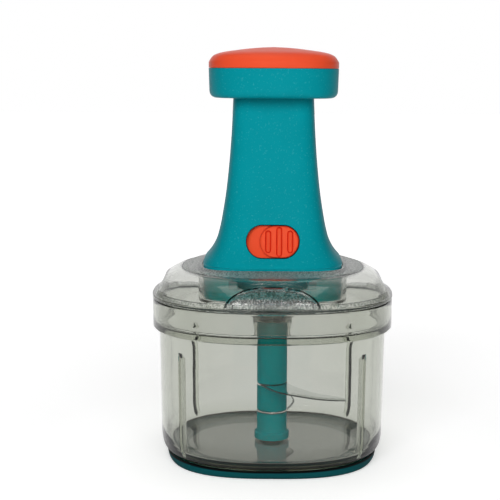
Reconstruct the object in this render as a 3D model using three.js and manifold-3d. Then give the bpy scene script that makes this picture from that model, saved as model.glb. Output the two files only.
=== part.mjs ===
// Manual food chopper: a push-down chopper with a see-through bowl and lid.
// Pressing the knob drives a twisted rod through a slotted nut, and a toothed
// clutch passes the nut's turning on to the stack of curved blades.
// Millimetres, +Z up, front towards -Y, origin at the centre of the base.

import * as THREE from 'three';
import { mergeVertices } from 'three/addons/utils/BufferGeometryUtils.js';
import Module from 'manifold-3d';

const wasm = await Module();
wasm.setup();

// Clearances and the overrun of every cut.
const seatGap = 0.3;
const runGap = 0.4;
const cutOver = 1;

// Bowl: a squircle cup with a thicker collar round its mouth.
const bowlHalf = 62.8;
const bowlFootInset = 4.6;
const bowlWall = 2.2;
const bowlExponent = 2.4;
const bowlUnder = 3.2;
const bowlFloor = 2.8;
const bowlFootHeight = 9;
const collarStep = 3.6;
const collarWall = 2.2;
const collarHeight = 14.6;
const bowlHeight = 90;
const ribWidth = 2.6;
const ribDepth = 2.4;
const ribHeight = 57;
const ribTurn = 45;
const footSoleShare = 0.4;
const footSideShare = 0.15;
const floorSideShare = 0.5;
const floorRiseShare = 0.6;
const collarEdgeShare = 0.3;
const collarLipShare = 0.15;

// Foot ring under the bowl.
const footLedge = 0.7;
const footWidth = 10.9;
const footHeight = 5.1;

// Steel pin in the bowl's floor.
const pinRadius = 2;
const pinLength = 21;
const pinBossRadius = 6;
const pinBossDrop = 2;
const pinBossRise = 0.8;

// Lid: brim, sloping shoulder, flat top, and a well for the handle's foot.
const lidWall = 2;
const brimProud = 0.2;
const brimThickness = 2;
const lidHeight = 15.9;
const lidTopHalf = 49.8;
const shoulderPower = 1.33;
const skirtWall = 1.8;
const skirtDepth = 12;
const wellDepth = 14;
const wellExponent = 4.6;
const wellWall = 1.5;
const wellFloor = 1.6;
const gripHalfWidth = 24;
const gripLean = 5.9;
const gripTopDrop = 3.6;
const gripInset = 2.6;
const plateauRise = 2.4;
const skirtGap = 0.6;
const ledgeThickness = 1.2;
const stopWidth = 12.5;
const stopHeight = 3;
const stopPlace = 27;

// Nose under the lid's well, round the top of the blade stack.
const noseRadius = 13.5;
const noseWall = 1.5;
const noseDrop = 14.6;
const cupTopRadius = 11.4;
const cupFootRadius = 10;
const cupDrop = 8;
const nosePlate = 1.5;
const nosePlateHole = 7.4;

// Column: a rounded square tube that flares to the handle's foot.
const columnFootHalf = 38.4;
const columnTopHalf = 21.9;
const columnWall = 2.4;
const columnHeight = 94.1;
const columnExponent = 4.6;
const columnFootExponent = 3.3;
const columnLipGap = 3.1;
const columnLipRise = 1.1;
const columnEdge = 0.9;
const skirtInset = 1.6;
const skirtWindowWidth = 46;
const skirtWindowHeight = 4.8;
const skirtWindowDrop = 2.9;
const guideLength = 22;
const flareShares = [
  [0.016, 0.915],
  [0.0645, 0.712],
  [0.126, 0.552],
  [0.2, 0.439],
  [0.3, 0.335],
  [0.42, 0.235],
  [0.56, 0.15],
  [0.758, 0.064],
];

// Knob: a wide shell with a domed cap over it.
const knobHalf = 35.5;
const knobWall = 2.2;
const knobExponent = 2.7;
const knobDraft = 0.5;
const knobDrop = 1.4;
const knobHeight = 15.6;
const knobUnderRadius = 4.2;
const knobWeb = 2.4;
const capHeight = 11.5;
const capStraight = 3.2;
const capLipDepth = 3;
const capLipWall = 1.7;
const capShares = [
  [0.98, 0.157],
  [0.96, 0.289],
  [0.93, 0.42],
  [0.873, 0.54],
  [0.75, 0.675],
  [0.6, 0.77],
  [0.434, 0.867],
];

// Plunger under the knob, and its screws.
const plungerHalf = 15;
const plungerWall = 2;
const plungerExponent = 4.6;
const plungerFootGap = 5.5;
const plungerWebHeight = 33;
const plungerWeb = 3;
const plungerBossRadius = 2.6;
const plungerBossPlace = 9.4;
const plungerBossLength = 12;
const smallScrewRadius = 1.3;
const smallScrewHead = 2.3;
const smallScrewHeadHeight = 1.4;
const smallScrewLength = 9;
const screwCrownShare = 0.7;

// Twisted rod: its strip turns once in rodPitch.
const rodWidth = 6.2;
const rodThickness = 2;
const rodPitch = 30;
const rodShankRadius = 3.4;
const rodHeadRadius = 6;
const rodHeadHeight = 2;
const rodFootGap = 4.5;
const rodGap = 0.45;

// Return spring round the rod.
const springRadius = 8.4;
const springWire = 1.5;
const springTurns = 7;
const springFlatTurns = 0.75;

// Clutch: slotted nut above, toothed ring below.
const clutchRadius = 12;
const clutchToothRoot = 7.6;
const clutchTeeth = 12;
const clutchToothHeight = 1.5;
const toothShares = [0, 0.5, 1, 0.02];
const nutDisc = 2.6;
const nutHubRadius = 6.4;
const nutHubHeight = 5;
const ringDisc = 2.6;
const couplerHexAcross = 10;
const couplerHexLength = 10;
const couplerBore = 3.9;

// Handle's bottom cover, its bush and the clutch housing.
const coverThickness = 2.2;
const coverNoseWall = 1.4;
const coverRim = 9.8;
const bushWall = 1;
const bushFlange = 1.2;
const housingWall = 2;
const housingRadius = 17;
const housingFlange = 22;
const housingFlangeHeight = 2;
const coverScrewRadius = 1.5;
const coverScrewHead = 2.8;
const coverScrewHeadHeight = 1.2;
const coverScrewLength = 10;
const coverScrewPlace = 26;
const columnBossRadius = 3.6;
const webReachShare = 1.7;
const housingScrewPlace = 19.6;
const housingScrewTurn = 30;
const housingScrewStep = 120;

// Lock slide on the front of the column.
const lockRise = 17;
const lockSlotLength = 28.2;
const lockSlotHeight = 16.8;
const lockGripLength = 20.8;
const lockGripProud = 0.5;
const lockRibProud = 0.7;
const lockRibWidth = 2.9;
const lockRibPitch = 5.85;
const lockRibHeight = 11.6;
const lockLand = 1.3;
const lockPlateLength = 33.6;
const lockPlateHeight = 20.4;
const lockPlateThickness = 2.6;
const lockPlateShift = 1.6;
const lockTravel = 7;
const boltWidth = 4;
const boltHeight = 2.6;
const boltReach = 1;
const boltPlace = 4;
const boltDepthShare = 0.42;
const retainerThickness = 1.4;
const retainerLength = 33;
const retainerHeight = 29;
const stakeRadius = 1.8;
const stakePlace = 12.6;

// Blade stack.
const tubeRadius = 8.5;
const coreRadius = 5.2;
const coreLength = 23;
const coreTipShare = 0.8;
const stackFootRadius = 9.8;
const stackFootHeight = 4;
const footStage = 15.4;
const spacerHeight = 14;
const bladeThickness = 1;
const bladeClearance = 4.6;
const bladeHub = 8.5;
const upperBladeTurn = -45;
const lowerBladeTurn = 92;
const tubeBore = 6.4;
const socketDepth = 11;
const bladeOutlineShares = [
  [-0.02, -0.152],
  [0.17, -0.215],
  [0.33, -0.247],
  [0.45, -0.243],
  [0.58, -0.22],
  [0.78, -0.166],
  [0.91, -0.094],
  [1, -0.009],
  [0.985, 0.016],
  [0.93, 0.027],
  [0.62, -0.02],
  [0.36, 0.014],
  [0.2, 0.052],
  [0.08, 0.13],
];

// Fineness of the round and the squircle pieces.
const planSteps = 36;
const turnSteps = 24;
const roundSteps = 20;
const smallSteps = 8;
const slotSteps = 6;
const shoulderSteps = 4;
const rodSteps = 18;
const slotTurnSteps = 36;
const springSteps = 8;
const springSides = 5;
const bladeSteps = 3;
const hexSides = 6;
const mergeReach = 0.0001;

// Widths that follow from the sizes above.
const bowlFootHalf = bowlHalf - bowlFootInset;
const bowlInner = bowlHalf - bowlWall;
const collarHalf = bowlHalf + collarStep;
const collarInner = collarHalf - collarWall;
const footHalf = bowlFootHalf + footLedge;
const footInner = footHalf - footWidth;
const brimHalf = collarHalf + brimProud;
const gripFootHalf = brimHalf - gripInset;
const gripTopHalf = gripFootHalf - gripLean;
const wellInner = columnFootHalf + seatGap * 2;
const skirtHalf = columnFootHalf - skirtInset;
const bladeReach = bowlInner - bladeClearance;

// Heights that follow from the sizes above.
const bowlTop = bowlHeight;
const collarBottom = bowlTop - collarHeight;
const lidTop = bowlTop + lidHeight;
const columnTop = lidTop + columnHeight;
const lockHeight = lidTop + lockRise;
const floorTop = bowlUnder + bowlFloor;
const brimBottom = bowlTop + seatGap;
const shoulderFoot = brimBottom + brimThickness;
const columnLip = lidTop + columnLipGap;
const wellBottom = lidTop - wellDepth;
const skirtBottom = wellBottom + seatGap;
const noseBottom = wellBottom - wellFloor - noseDrop;
const cupBottom = noseBottom - cupDrop;
const nosePlateTop = noseBottom + nosePlate;
const knobUnder = columnTop - knobDrop;
const knobSeam = knobUnder + knobHeight;
const webUnder = columnTop + runGap;
const plungerTop = webUnder - seatGap;
const stackFoot = floorTop + pinBossRise + seatGap;
const lowerBladeUnder = stackFoot + footStage;
const spacerUnder = lowerBladeUnder + bladeThickness + seatGap;
const upperBladeUnder = spacerUnder + spacerHeight + seatGap;
const tubeUnder = upperBladeUnder + bladeThickness + seatGap;
const tubeTop = noseBottom - seatGap * 2;
const coverBottom = skirtBottom;
const coverTop = coverBottom + coverThickness;
const coverNoseOuter = noseRadius - noseWall - runGap;
const coverNoseInner = coverNoseOuter - coverNoseWall;
const coverNoseBottom = nosePlateTop + seatGap;
const bushOuter = coverNoseInner - seatGap;
const bushInner = bushOuter - bushWall;
const bushTop = coverTop + seatGap + bushFlange;
const ringUnder = bushTop + seatGap;
const ringTop = ringUnder + ringDisc;
const nutUnder = ringTop + clutchToothHeight + seatGap;
const nutTop = nutUnder + nutDisc;
const nutHubTop = nutTop + nutHubHeight;
const housingTop = nutHubTop + runGap + housingWall;
const plungerBottom = housingTop + housingWall + plungerFootGap;
const plungerWebUnder = plungerBottom + plungerWebHeight;
const coreTop = lowerBladeUnder + coreLength;
const rodBottom = coreTop + rodFootGap;

// Finishes, as the photograph shows them.
const material = (color, roughness, metalness = 0, opacity = 1) =>
  new THREE.MeshStandardMaterial({ color, roughness, metalness, opacity, transparent: opacity < 1 });
const tealPlastic = () => material(0x02939e, 0.45);
const darkTealPlastic = () => material(0x00666e, 0.5);
const orangePlastic = () => material(0xea4b28, 0.4);
const footRubber = () => material(0x0a5358, 0.7);
const smokyPlastic = () => material(0x9aa39c, 0.12, 0, 0.4);
const whiteAcetal = () => material(0xe6e4dc, 0.5);
const steel = () => material(0xc8ccd0, 0.25, 1);

const chopper = new THREE.Group();

function add(name, geometry, finish) {
  const mesh = new THREE.Mesh(geometry, finish);
  mesh.name = name;
  chopper.add(mesh);
  return mesh;
}

// A closed body as a manifold solid, with its faces turned outwards.
function solid(geometry) {
  const bare = geometry.clone();
  bare.deleteAttribute('normal');
  bare.deleteAttribute('uv');
  const merged = mergeVertices(bare, mergeReach);
  const place = merged.attributes.position;
  const corners = Uint32Array.from(merged.index.array);
  const a = new THREE.Vector3();
  const b = new THREE.Vector3();
  const c = new THREE.Vector3();
  let volume = 0;
  for (let i = 0; i < corners.length; i += 3) {
    a.fromBufferAttribute(place, corners[i]);
    b.fromBufferAttribute(place, corners[i + 1]);
    c.fromBufferAttribute(place, corners[i + 2]);
    volume += a.dot(b.cross(c));
  }
  if (volume < 0) {
    for (let i = 0; i < corners.length; i += 3) {
      [corners[i], corners[i + 1]] = [corners[i + 1], corners[i]];
    }
  }
  const vertProperties = Float32Array.from(place.array);
  return new wasm.Manifold(new wasm.Mesh({ numProp: 3, vertProperties, triVerts: corners }));
}

function geometryOf(body) {
  const mesh = body.getMesh();
  const geometry = new THREE.BufferGeometry();
  const place = new Float32Array(mesh.numVert * 3);
  for (let i = 0; i < mesh.numVert; i += 1) {
    for (let k = 0; k < 3; k += 1) {
      place[i * 3 + k] = mesh.vertProperties[i * mesh.numProp + k];
    }
  }
  geometry.setAttribute('position', new THREE.BufferAttribute(place, 3));
  geometry.setIndex(new THREE.BufferAttribute(Uint32Array.from(mesh.triVerts), 1));
  geometry.computeVertexNormals();
  return geometry;
}

const cut = (body, ...tools) => tools.reduce((whole, tool) => whole.subtract(tool), body);
const join = (body, ...others) => others.reduce((whole, other) => whole.add(other), body);

// A point of the squircle plan |x/h|^n + |y/h|^n = 1.
function planPoint(half, exponent, step) {
  const angle = (step / planSteps) * Math.PI * 2;
  const c = Math.cos(angle);
  const s = Math.sin(angle);
  const x = half * Math.sign(c) * Math.abs(c) ** (2 / exponent);
  const y = half * Math.sign(s) * Math.abs(s) ** (2 / exponent);
  return [x, y];
}

// Squircle rows of [half width, height, exponent], skinned from row to row.
// A row of zero width closes on the axis, and otherwise the last row joins the first.
function loft(rows) {
  const places = [];
  const starts = [];
  for (const [half, height, exponent] of rows) {
    starts.push(places.length / 3);
    const count = half === 0 ? 1 : planSteps;
    for (let i = 0; i < count; i += 1) {
      const [x, y] = planPoint(half, exponent, i);
      places.push(x, y, height);
    }
  }
  const corners = [];
  const onAxis = rows[0][0] === 0;
  const bands = onAxis ? rows.length - 1 : rows.length;
  for (let r = 0; r < bands; r += 1) {
    const next = (r + 1) % rows.length;
    const lowPoint = rows[r][0] === 0;
    const highPoint = rows[next][0] === 0;
    for (let i = 0; i < planSteps; i += 1) {
      const j = (i + 1) % planSteps;
      const low = starts[r] + (lowPoint ? 0 : i);
      const lowNext = starts[r] + (lowPoint ? 0 : j);
      const high = starts[next] + (highPoint ? 0 : i);
      const highNext = starts[next] + (highPoint ? 0 : j);
      if (!lowPoint) corners.push(low, lowNext, highPoint ? high : highNext);
      if (!highPoint) corners.push(low, highNext, high);
    }
  }
  const geometry = new THREE.BufferGeometry();
  geometry.setAttribute('position', new THREE.Float32BufferAttribute(places, 3));
  geometry.setIndex(corners);
  return solid(geometry);
}

// A profile of [radius, height] points turned about the vertical axis.
function turned(profile, steps = roundSteps) {
  const closed = profile[0][0] === 0 ? profile : [...profile, profile[0]];
  const points = closed.map(([radius, height]) => new THREE.Vector2(radius, height));
  return solid(new THREE.LatheGeometry(points, steps).rotateX(Math.PI / 2));
}

function disc(radius, bottom, top, steps = roundSteps) {
  return turned([[0, bottom], [radius, bottom], [radius, top], [0, top]], steps);
}

function ring(inner, outer, bottom, top, steps = roundSteps) {
  return turned([[inner, bottom], [outer, bottom], [outer, top], [inner, top]], steps);
}

function block(width, depth, height, x, y, z) {
  return solid(new THREE.BoxGeometry(width, depth, height).translate(x, y, z));
}

const sharePoint = (share, from, to) => from + (to - from) * share;

// Squircle ring of constant height, for cuts and rims.
function frame(inner, outer, bottom, top, exponent) {
  return loft([
    [inner, bottom, exponent],
    [outer, bottom, exponent],
    [outer, top, exponent],
    [inner, top, exponent],
  ]);
}

// Bowl: one moulding with a rounded foot, a stepped collar and four inner ribs.
{
  const n = bowlExponent;
  const footCorner = bowlHalf - bowlFootHalf;
  const outside = [
    [0, bowlUnder, n],
    [bowlFootHalf - footCorner, bowlUnder, n],
    [bowlFootHalf, bowlUnder + footCorner * footSoleShare, n],
    [bowlHalf - footCorner * footSoleShare, bowlUnder + footCorner, n],
    [bowlHalf - footCorner * footSideShare, bowlUnder + bowlFootHeight, n],
    [bowlHalf, collarBottom - collarWall, n],
  ];
  const shell = loft([
    ...outside,
    [collarHalf, collarBottom, n],
    [collarHalf, bowlTop - collarWall * collarEdgeShare, n],
    [collarHalf - collarWall * collarLipShare, bowlTop, n],
    [collarInner, bowlTop, n],
    [collarInner, collarBottom + collarWall, n],
    [bowlInner, collarBottom, n],
    [bowlInner - footCorner * footSideShare, floorTop + bowlFootHeight, n],
    [bowlInner - footCorner * floorSideShare, floorTop + footCorner * floorRiseShare, n],
    [bowlFootHalf - bowlWall - footCorner, floorTop, n],
    [0, floorTop, n],
  ]);
  const boss = disc(pinBossRadius, bowlUnder - pinBossDrop, floorTop + pinBossRise);
  const boreBottom = bowlUnder - pinBossDrop / 2;
  const bore = disc(pinRadius + seatGap / 6, boreBottom, floorTop + cutOver * 2, smallSteps);
  const core = loft([...outside, [0, collarBottom - collarWall, n]]);
  const diagonal = bowlInner * Math.SQRT1_2 ** (2 / n) * Math.SQRT2;
  const ribs = [0, 1, 2, 3].map((quarter) => {
    const rib = block(ribDepth + bowlWall / 2, ribWidth, ribHeight,
      diagonal - ribDepth / 2, 0, floorTop + ribHeight / 2);
    return rib.rotate([0, 0, ribTurn + quarter * 90]).intersect(core);
  });
  add('bowl', geometryOf(cut(join(shell, boss, ...ribs), bore)), smokyPlastic());
}

// Foot ring: a soft non-slip hoop that the bowl's rounded edge stands in.
{
  const n = bowlExponent;
  const seat = bowlUnder - seatGap;
  const lip = footHalf - bowlFootHalf + seatGap;
  const hoop = loft([
    [footInner, 0, n],
    [footHalf - lip, 0, n],
    [footHalf, lip, n],
    [footHalf, footHeight - lip, n],
    [footHalf - lip / 2, footHeight, n],
    [bowlFootHalf + seatGap, bowlUnder + seatGap, n],
    [bowlFootHalf - lip * 3, seat, n],
    [footInner, seat, n],
  ]);
  add('foot_ring', geometryOf(hoop), footRubber());
}

// Steel pin moulded into the floor, with a rounded tip.
{
  const bottom = bowlUnder - pinBossDrop / 2 + seatGap;
  const top = bottom + pinLength;
  const pin = turned(
    [[0, bottom], [pinRadius, bottom], [pinRadius, top - pinRadius], [pinRadius / 2, top], [0, top]],
    smallSteps,
  );
  add('bowl_pin', geometryOf(pin), steel());
}

// Lid: an even wall, with the finger grips pressed into it.
function shoulder(outerHalf, foot, topHalf, top, steps) {
  const rows = [];
  for (let i = 0; i <= steps; i += 1) {
    const angle = (i / steps) * Math.PI / 2;
    const across = Math.cos(angle) ** shoulderPower;
    const up = Math.sin(angle) ** shoulderPower;
    rows.push([sharePoint(across, topHalf, outerHalf), sharePoint(up, foot, top), bowlExponent]);
  }
  return rows;
}

function gripCutters(inset) {
  const top = lidTop - gripTopDrop;
  const lean = Math.atan2(gripFootHalf - gripTopHalf, top - shoulderFoot);
  const reach = lidTop - shoulderFoot + brimThickness;
  const thick = brimHalf - gripTopHalf;
  return [0, 1, 2, 3].map((quarter) => {
    const wedge = new THREE.BoxGeometry(gripHalfWidth * 2 + inset * 2, thick * 2, reach * 2);
    wedge.translate(0, -thick + inset, 0);
    wedge.rotateX(-lean);
    wedge.translate(0, -gripFootHalf, shoulderFoot);
    const floor = shoulderFoot - inset / 2;
    const below = block(brimHalf * 4, brimHalf * 4, reach * 4, 0, 0, floor - reach * 2);
    return solid(wedge).subtract(below).rotate([0, 0, quarter * 90]);
  });
}
{
  const n = bowlExponent;
  const skirtOuter = collarInner - skirtGap;
  const skirtInner = skirtOuter - skirtWall;
  const skirtFoot = brimBottom - skirtDepth;
  const plateauTop = lidTop + plateauRise;
  const ledgeTop = brimBottom + ledgeThickness;
  const ledgeHalf = brimHalf - lidWall;
  const wellOuter = wellInner + wellWall;
  const outer = loft([
    [0, skirtFoot, n],
    [skirtOuter, skirtFoot, n],
    [skirtOuter, brimBottom, n],
    [brimHalf - brimThickness / 4, brimBottom, n],
    [brimHalf, brimBottom + brimThickness / 4, n],
    [brimHalf, shoulderFoot - brimThickness / 4, n],
    ...shoulder(brimHalf - brimThickness / 4, shoulderFoot, lidTopHalf, lidTop, shoulderSteps),
    [wellInner, plateauTop, wellExponent],
    [0, plateauTop, wellExponent],
  ]);
  const cavity = loft([
    [0, skirtFoot - cutOver, n],
    [skirtInner, skirtFoot - cutOver, n],
    [skirtInner, ledgeTop, n],
    ...shoulder(ledgeHalf, ledgeTop, lidTopHalf - lidWall / 2, lidTop - lidWall, shoulderSteps),
    [wellOuter, plateauTop - lidWall, wellExponent],
    [0, plateauTop - lidWall, wellExponent],
  ]);
  const well = loft([
    [0, wellBottom - wellFloor, wellExponent],
    [wellOuter - wellWall, wellBottom - wellFloor, wellExponent],
    [wellOuter, wellBottom, wellExponent],
    [wellOuter, plateauTop - lidWall / 2, wellExponent],
    [0, plateauTop - lidWall / 2, wellExponent],
  ]);
  const wellHollow = loft([
    [0, wellBottom, wellExponent],
    [wellInner, wellBottom, wellExponent],
    [wellInner, plateauTop + cutOver, wellExponent],
    [0, plateauTop + cutOver, wellExponent],
  ]);
  const nose = turned([
    [0, cupBottom],
    [cupFootRadius, cupBottom],
    [cupTopRadius, noseBottom],
    [noseRadius, noseBottom],
    [noseRadius, wellBottom - wellFloor / 2],
    [0, wellBottom - wellFloor / 2],
  ], turnSteps);
  const noseHollow = disc(noseRadius - noseWall, nosePlateTop, wellBottom + cutOver, turnSteps);
  const plateHole = disc(nosePlateHole, noseBottom - cutOver, nosePlateTop + cutOver);
  const cupHollow = disc(tubeRadius + runGap, cupBottom - cutOver, noseBottom);
  const wall = cut(cut(outer, ...gripCutters(0)), cut(cavity, ...gripCutters(lidWall)));
  const stopFoot = ledgeTop - ledgeThickness / 2;
  const stopRing = frame(skirtInner, ledgeHalf + lidWall / 2, stopFoot, ledgeTop + stopHeight, n);
  const stops = [0, 1, 2, 3].flatMap((quarter) => [-1, 1].map((side) => {
    const slice = block(stopWidth, brimHalf, lidHeight, side * stopPlace, -brimHalf, stopFoot);
    return stopRing.intersect(slice.rotate([0, 0, quarter * 90]));
  }));
  const body = cut(join(wall, well, nose, ...stops), wellHollow, noseHollow, plateHole, cupHollow);
  add('lid', geometryOf(body), smokyPlastic());
}

// Half width of the column's outside at a share of its height.
const flareRows = [[0, 1], ...flareShares, [1, 0]];
const flareFoot = columnLip + columnLipRise;
function flare(inset, from, to) {
  return flareRows
    .map(([rise, width]) => [
      sharePoint(width, columnTopHalf, columnFootHalf) - inset,
      sharePoint(rise, flareFoot, columnTop),
      sharePoint(width, columnExponent, columnFootExponent),
    ])
    .filter(([, height]) => height > from && height < to);
}

// The column's form as a solid core, a given depth inside its outer face.
function columnCore(inset) {
  const rows = flare(inset, flareFoot, columnTop);
  const [firstHalf, firstHeight, firstExponent] = rows[0];
  const [lastHalf, lastHeight, lastExponent] = rows[rows.length - 1];
  return loft([
    [0, firstHeight, firstExponent],
    [firstHalf, firstHeight, firstExponent],
    ...rows.slice(1),
    [lastHalf, lastHeight + cutOver, lastExponent],
    [0, lastHeight + cutOver, lastExponent],
  ]);
}

// A slab that follows the column's front wall at a depth behind it, straight across.
function wallSlab(front, back, width, bottom, top) {
  const heights = [bottom, ...flareRows
    .map(([rise]) => sharePoint(rise, flareFoot, columnTop))
    .filter((height) => height > bottom && height < top), top];
  const depthAt = (height) => {
    const share = THREE.MathUtils.clamp((height - flareFoot) / (columnTop - flareFoot), 0, 1);
    const next = Math.max(1, flareRows.findIndex(([rise]) => rise >= share));
    const [lowRise, lowWidth] = flareRows[next - 1];
    const [highRise, highWidth] = flareRows[next];
    const width2 = sharePoint((share - lowRise) / (highRise - lowRise), lowWidth, highWidth);
    return sharePoint(width2, columnTopHalf, columnFootHalf);
  };
  const outline = [
    ...heights.map((height) => [height, -depthAt(height) + front]),
    ...heights.slice().reverse().map((height) => [height, -depthAt(height) + back]),
  ];
  const shape = new THREE.Shape(outline.map(([z, y]) => new THREE.Vector2(y, z)));
  const geometry = new THREE.ExtrudeGeometry(shape, { depth: width, bevelEnabled: false });
  const turn = new THREE.Matrix4().set(0, 0, 1, -width / 2, 1, 0, 0, 0, 0, 1, 0, 0, 0, 0, 0, 1);
  return solid(geometry.applyMatrix4(turn));
}

// A round-ended bar along the front, seen from the front as a stadium.
function frontStadium(length, height, x, z) {
  const round = height / 2;
  const shape = new THREE.Shape();
  shape.absarc(length / 2 - round, 0, round, -Math.PI / 2, Math.PI / 2);
  shape.absarc(round - length / 2, 0, round, Math.PI / 2, Math.PI * 1.5);
  const settings = { depth: columnFootHalf * 2, bevelEnabled: false, curveSegments: slotSteps };
  const geometry = new THREE.ExtrudeGeometry(shape, settings);
  return solid(geometry.rotateX(Math.PI / 2).translate(x, 0, z));
}

// Round bar that runs straight back from the front wall.
function frontPin(radius, x, z) {
  const bar = new THREE.CylinderGeometry(radius, radius, columnFootHalf, smallSteps);
  return solid(bar.translate(x, -columnFootHalf / 2, z));
}

const plateFront = lockLand + seatGap;
const plateBack = plateFront + lockPlateThickness;
const retainerFront = plateBack + runGap;
const retainerBack = retainerFront + retainerThickness;

// Column: flared shell with a shallow skirt that drops into the lid's well.
const plungerHole = plungerHalf + runGap;
const bossPlaces = [45, 135, 225, 315];
{
  const n = columnExponent;
  const foot = columnFootExponent;
  const top = columnTop - columnWall;
  const skirtInner = skirtHalf - columnWall;
  const guideBottom = columnTop - guideLength;
  const shell = loft([
    [skirtInner, skirtBottom, foot],
    [skirtHalf, skirtBottom, foot],
    [skirtHalf, columnLip, foot],
    [columnFootHalf - columnEdge, columnLip, foot],
    [columnFootHalf, columnLip + columnEdge, foot],
    ...flare(0, columnLip + columnEdge, columnTop - columnEdge),
    [columnTopHalf, columnTop - columnEdge, n],
    [columnTopHalf - columnEdge, columnTop, n],
    [plungerHole, columnTop, n],
    [plungerHole, guideBottom, n],
    [plungerHole + plungerWall, guideBottom, n],
    [plungerHole + plungerWall, top, n],
    [columnTopHalf - columnWall, top, n],
    ...flare(columnWall, flareFoot, top).filter((row, index) => index % 2 === 0).reverse(),
    [skirtInner, columnLip - columnLipRise, foot],
  ]);
  const slot = frontStadium(lockSlotLength, lockSlotHeight, 0, lockHeight);
  const pocketLength = lockPlateLength + lockTravel + seatGap * 2;
  const pocketHeight = lockPlateHeight + seatGap * 2;
  const pocketWindow = block(pocketLength, columnFootHalf, pocketHeight,
    lockPlateShift - lockTravel / 2, -columnFootHalf, lockHeight);
  const pocket = columnCore(lockLand).intersect(pocketWindow);
  const stakes = [-1, 1].map((side) => {
    const height = lockHeight + side * stakePlace;
    const slab = wallSlab(columnWall / 2, retainerBack, stakeRadius * 4,
      height - stakeRadius * 2, height + stakeRadius * 2);
    return frontPin(stakeRadius, 0, height).intersect(slab);
  });
  const windowTop = lidTop - skirtWindowDrop;
  const windows = [-1, 1].map((side) => block(skirtWindowWidth, columnWall * 3, skirtWindowHeight,
    0, side * skirtHalf, windowTop - skirtWindowHeight / 2));
  const bosses = bossPlaces.map((angle) => {
    const bossTop = flareFoot + columnWall;
    const webBottom = coverTop + coverRim + seatGap;
    const pilot = coverScrewRadius + seatGap / 2;
    const boss = ring(pilot, columnBossRadius, coverTop + seatGap, bossTop, smallSteps);
    const webStart = (columnBossRadius + coverScrewRadius) / 2;
    const webLength = skirtHalf + columnWall * webReachShare - coverScrewPlace - webStart;
    const web = block(webLength, columnWall, bossTop - webBottom,
      webStart + webLength / 2, 0, (bossTop + webBottom) / 2);
    return join(boss, web).translate([coverScrewPlace, 0, 0]).rotate([0, 0, angle]);
  });
  const body = cut(join(shell, ...bosses, ...stakes), slot, pocket, ...windows);
  add('handle_column', geometryOf(body), tealPlastic());
}

// Bottom cover: plate, bearing nose and the dark rim behind the skirt's windows.
{
  const foot = columnFootExponent;
  const plateHalf = skirtHalf - columnWall - seatGap;
  const plate = loft([
    [coverNoseInner, coverBottom, 2],
    [plateHalf, coverBottom, foot],
    [plateHalf, coverTop + coverRim, foot],
    [plateHalf - coverNoseWall, coverTop + coverRim, foot],
    [plateHalf - coverNoseWall, coverTop, foot],
    [coverNoseInner, coverTop, 2],
  ]);
  const noseTop = coverBottom + coverThickness / 2;
  const nose = ring(coverNoseInner, coverNoseOuter, coverNoseBottom, noseTop, turnSteps);
  const holes = bossPlaces.map((angle) => {
    const hole = disc(coverScrewRadius + seatGap, coverBottom - cutOver, coverTop + cutOver, smallSteps);
    const sinkTop = coverBottom + coverScrewHeadHeight + seatGap;
    const sink = disc(coverScrewHead + seatGap, coverBottom - cutOver, sinkTop, smallSteps);
    return join(hole, sink).translate([coverScrewPlace, 0, 0]).rotate([0, 0, angle]);
  });
  add('bottom_cover', geometryOf(cut(join(plate, nose), ...holes)), darkTealPlastic());
}

// Screws that hold the bottom cover to the column's bosses.
bossPlaces.forEach((angle, index) => {
  const head = coverBottom + coverScrewHeadHeight;
  const screw = turned([
    [0, head - coverScrewHeadHeight],
    [coverScrewHead * 0.7, head - coverScrewHeadHeight],
    [coverScrewHead, head - coverScrewHeadHeight / 2],
    [coverScrewHead, head],
    [coverScrewRadius, head],
    [coverScrewRadius, head + coverScrewLength],
    [0, head + coverScrewLength],
  ], smallSteps);
  const placed = screw.translate([coverScrewPlace, 0, 0]).rotate([0, 0, angle]);
  add(`cover_screw_${index + 1}`, geometryOf(placed), steel());
});

// Bush: a flanged bearing sleeve pressed into the cover's nose.
{
  const bush = turned([
    [bushInner, coverNoseBottom + seatGap],
    [bushOuter, coverNoseBottom + seatGap],
    [bushOuter, coverTop + seatGap],
    [coverNoseOuter, coverTop + seatGap],
    [coverNoseOuter, bushTop],
    [bushInner, bushTop],
  ], turnSteps);
  add('output_bush', geometryOf(bush), whiteAcetal());
}

// Ratchet teeth: a ring between a saw-toothed face and a flat one.
function sawTeeth(inner, outer, base, height, flat) {
  const steps = clutchTeeth * toothShares.length;
  const places = [];
  for (const radius of [inner, outer]) {
    for (let i = 0; i < steps; i += 1) {
      const angle = (i / steps) * Math.PI * 2;
      const x = radius * Math.cos(angle);
      const y = radius * Math.sin(angle);
      places.push(x, y, base + toothShares[i % toothShares.length] * height);
      places.push(x, y, flat);
    }
  }
  const corners = [];
  const at = (rim, i, low) => (rim * steps + (i % steps)) * 2 + low;
  const quad = (a, b, c, d) => corners.push(a, b, c, a, c, d);
  for (let i = 0; i < steps; i += 1) {
    quad(at(0, i, 0), at(1, i, 0), at(1, i + 1, 0), at(0, i + 1, 0));
    quad(at(0, i, 1), at(0, i + 1, 1), at(1, i + 1, 1), at(1, i, 1));
    quad(at(1, i, 0), at(1, i, 1), at(1, i + 1, 1), at(1, i + 1, 0));
    quad(at(0, i, 0), at(0, i + 1, 0), at(0, i + 1, 1), at(0, i, 1));
  }
  const geometry = new THREE.BufferGeometry();
  geometry.setAttribute('position', new THREE.Float32BufferAttribute(places, 3));
  geometry.setIndex(corners);
  return solid(geometry);
}

// Six-sided bar whose corners lie on the circle round its flats.
const hexCorner = (across) => across / Math.sqrt(3);

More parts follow.
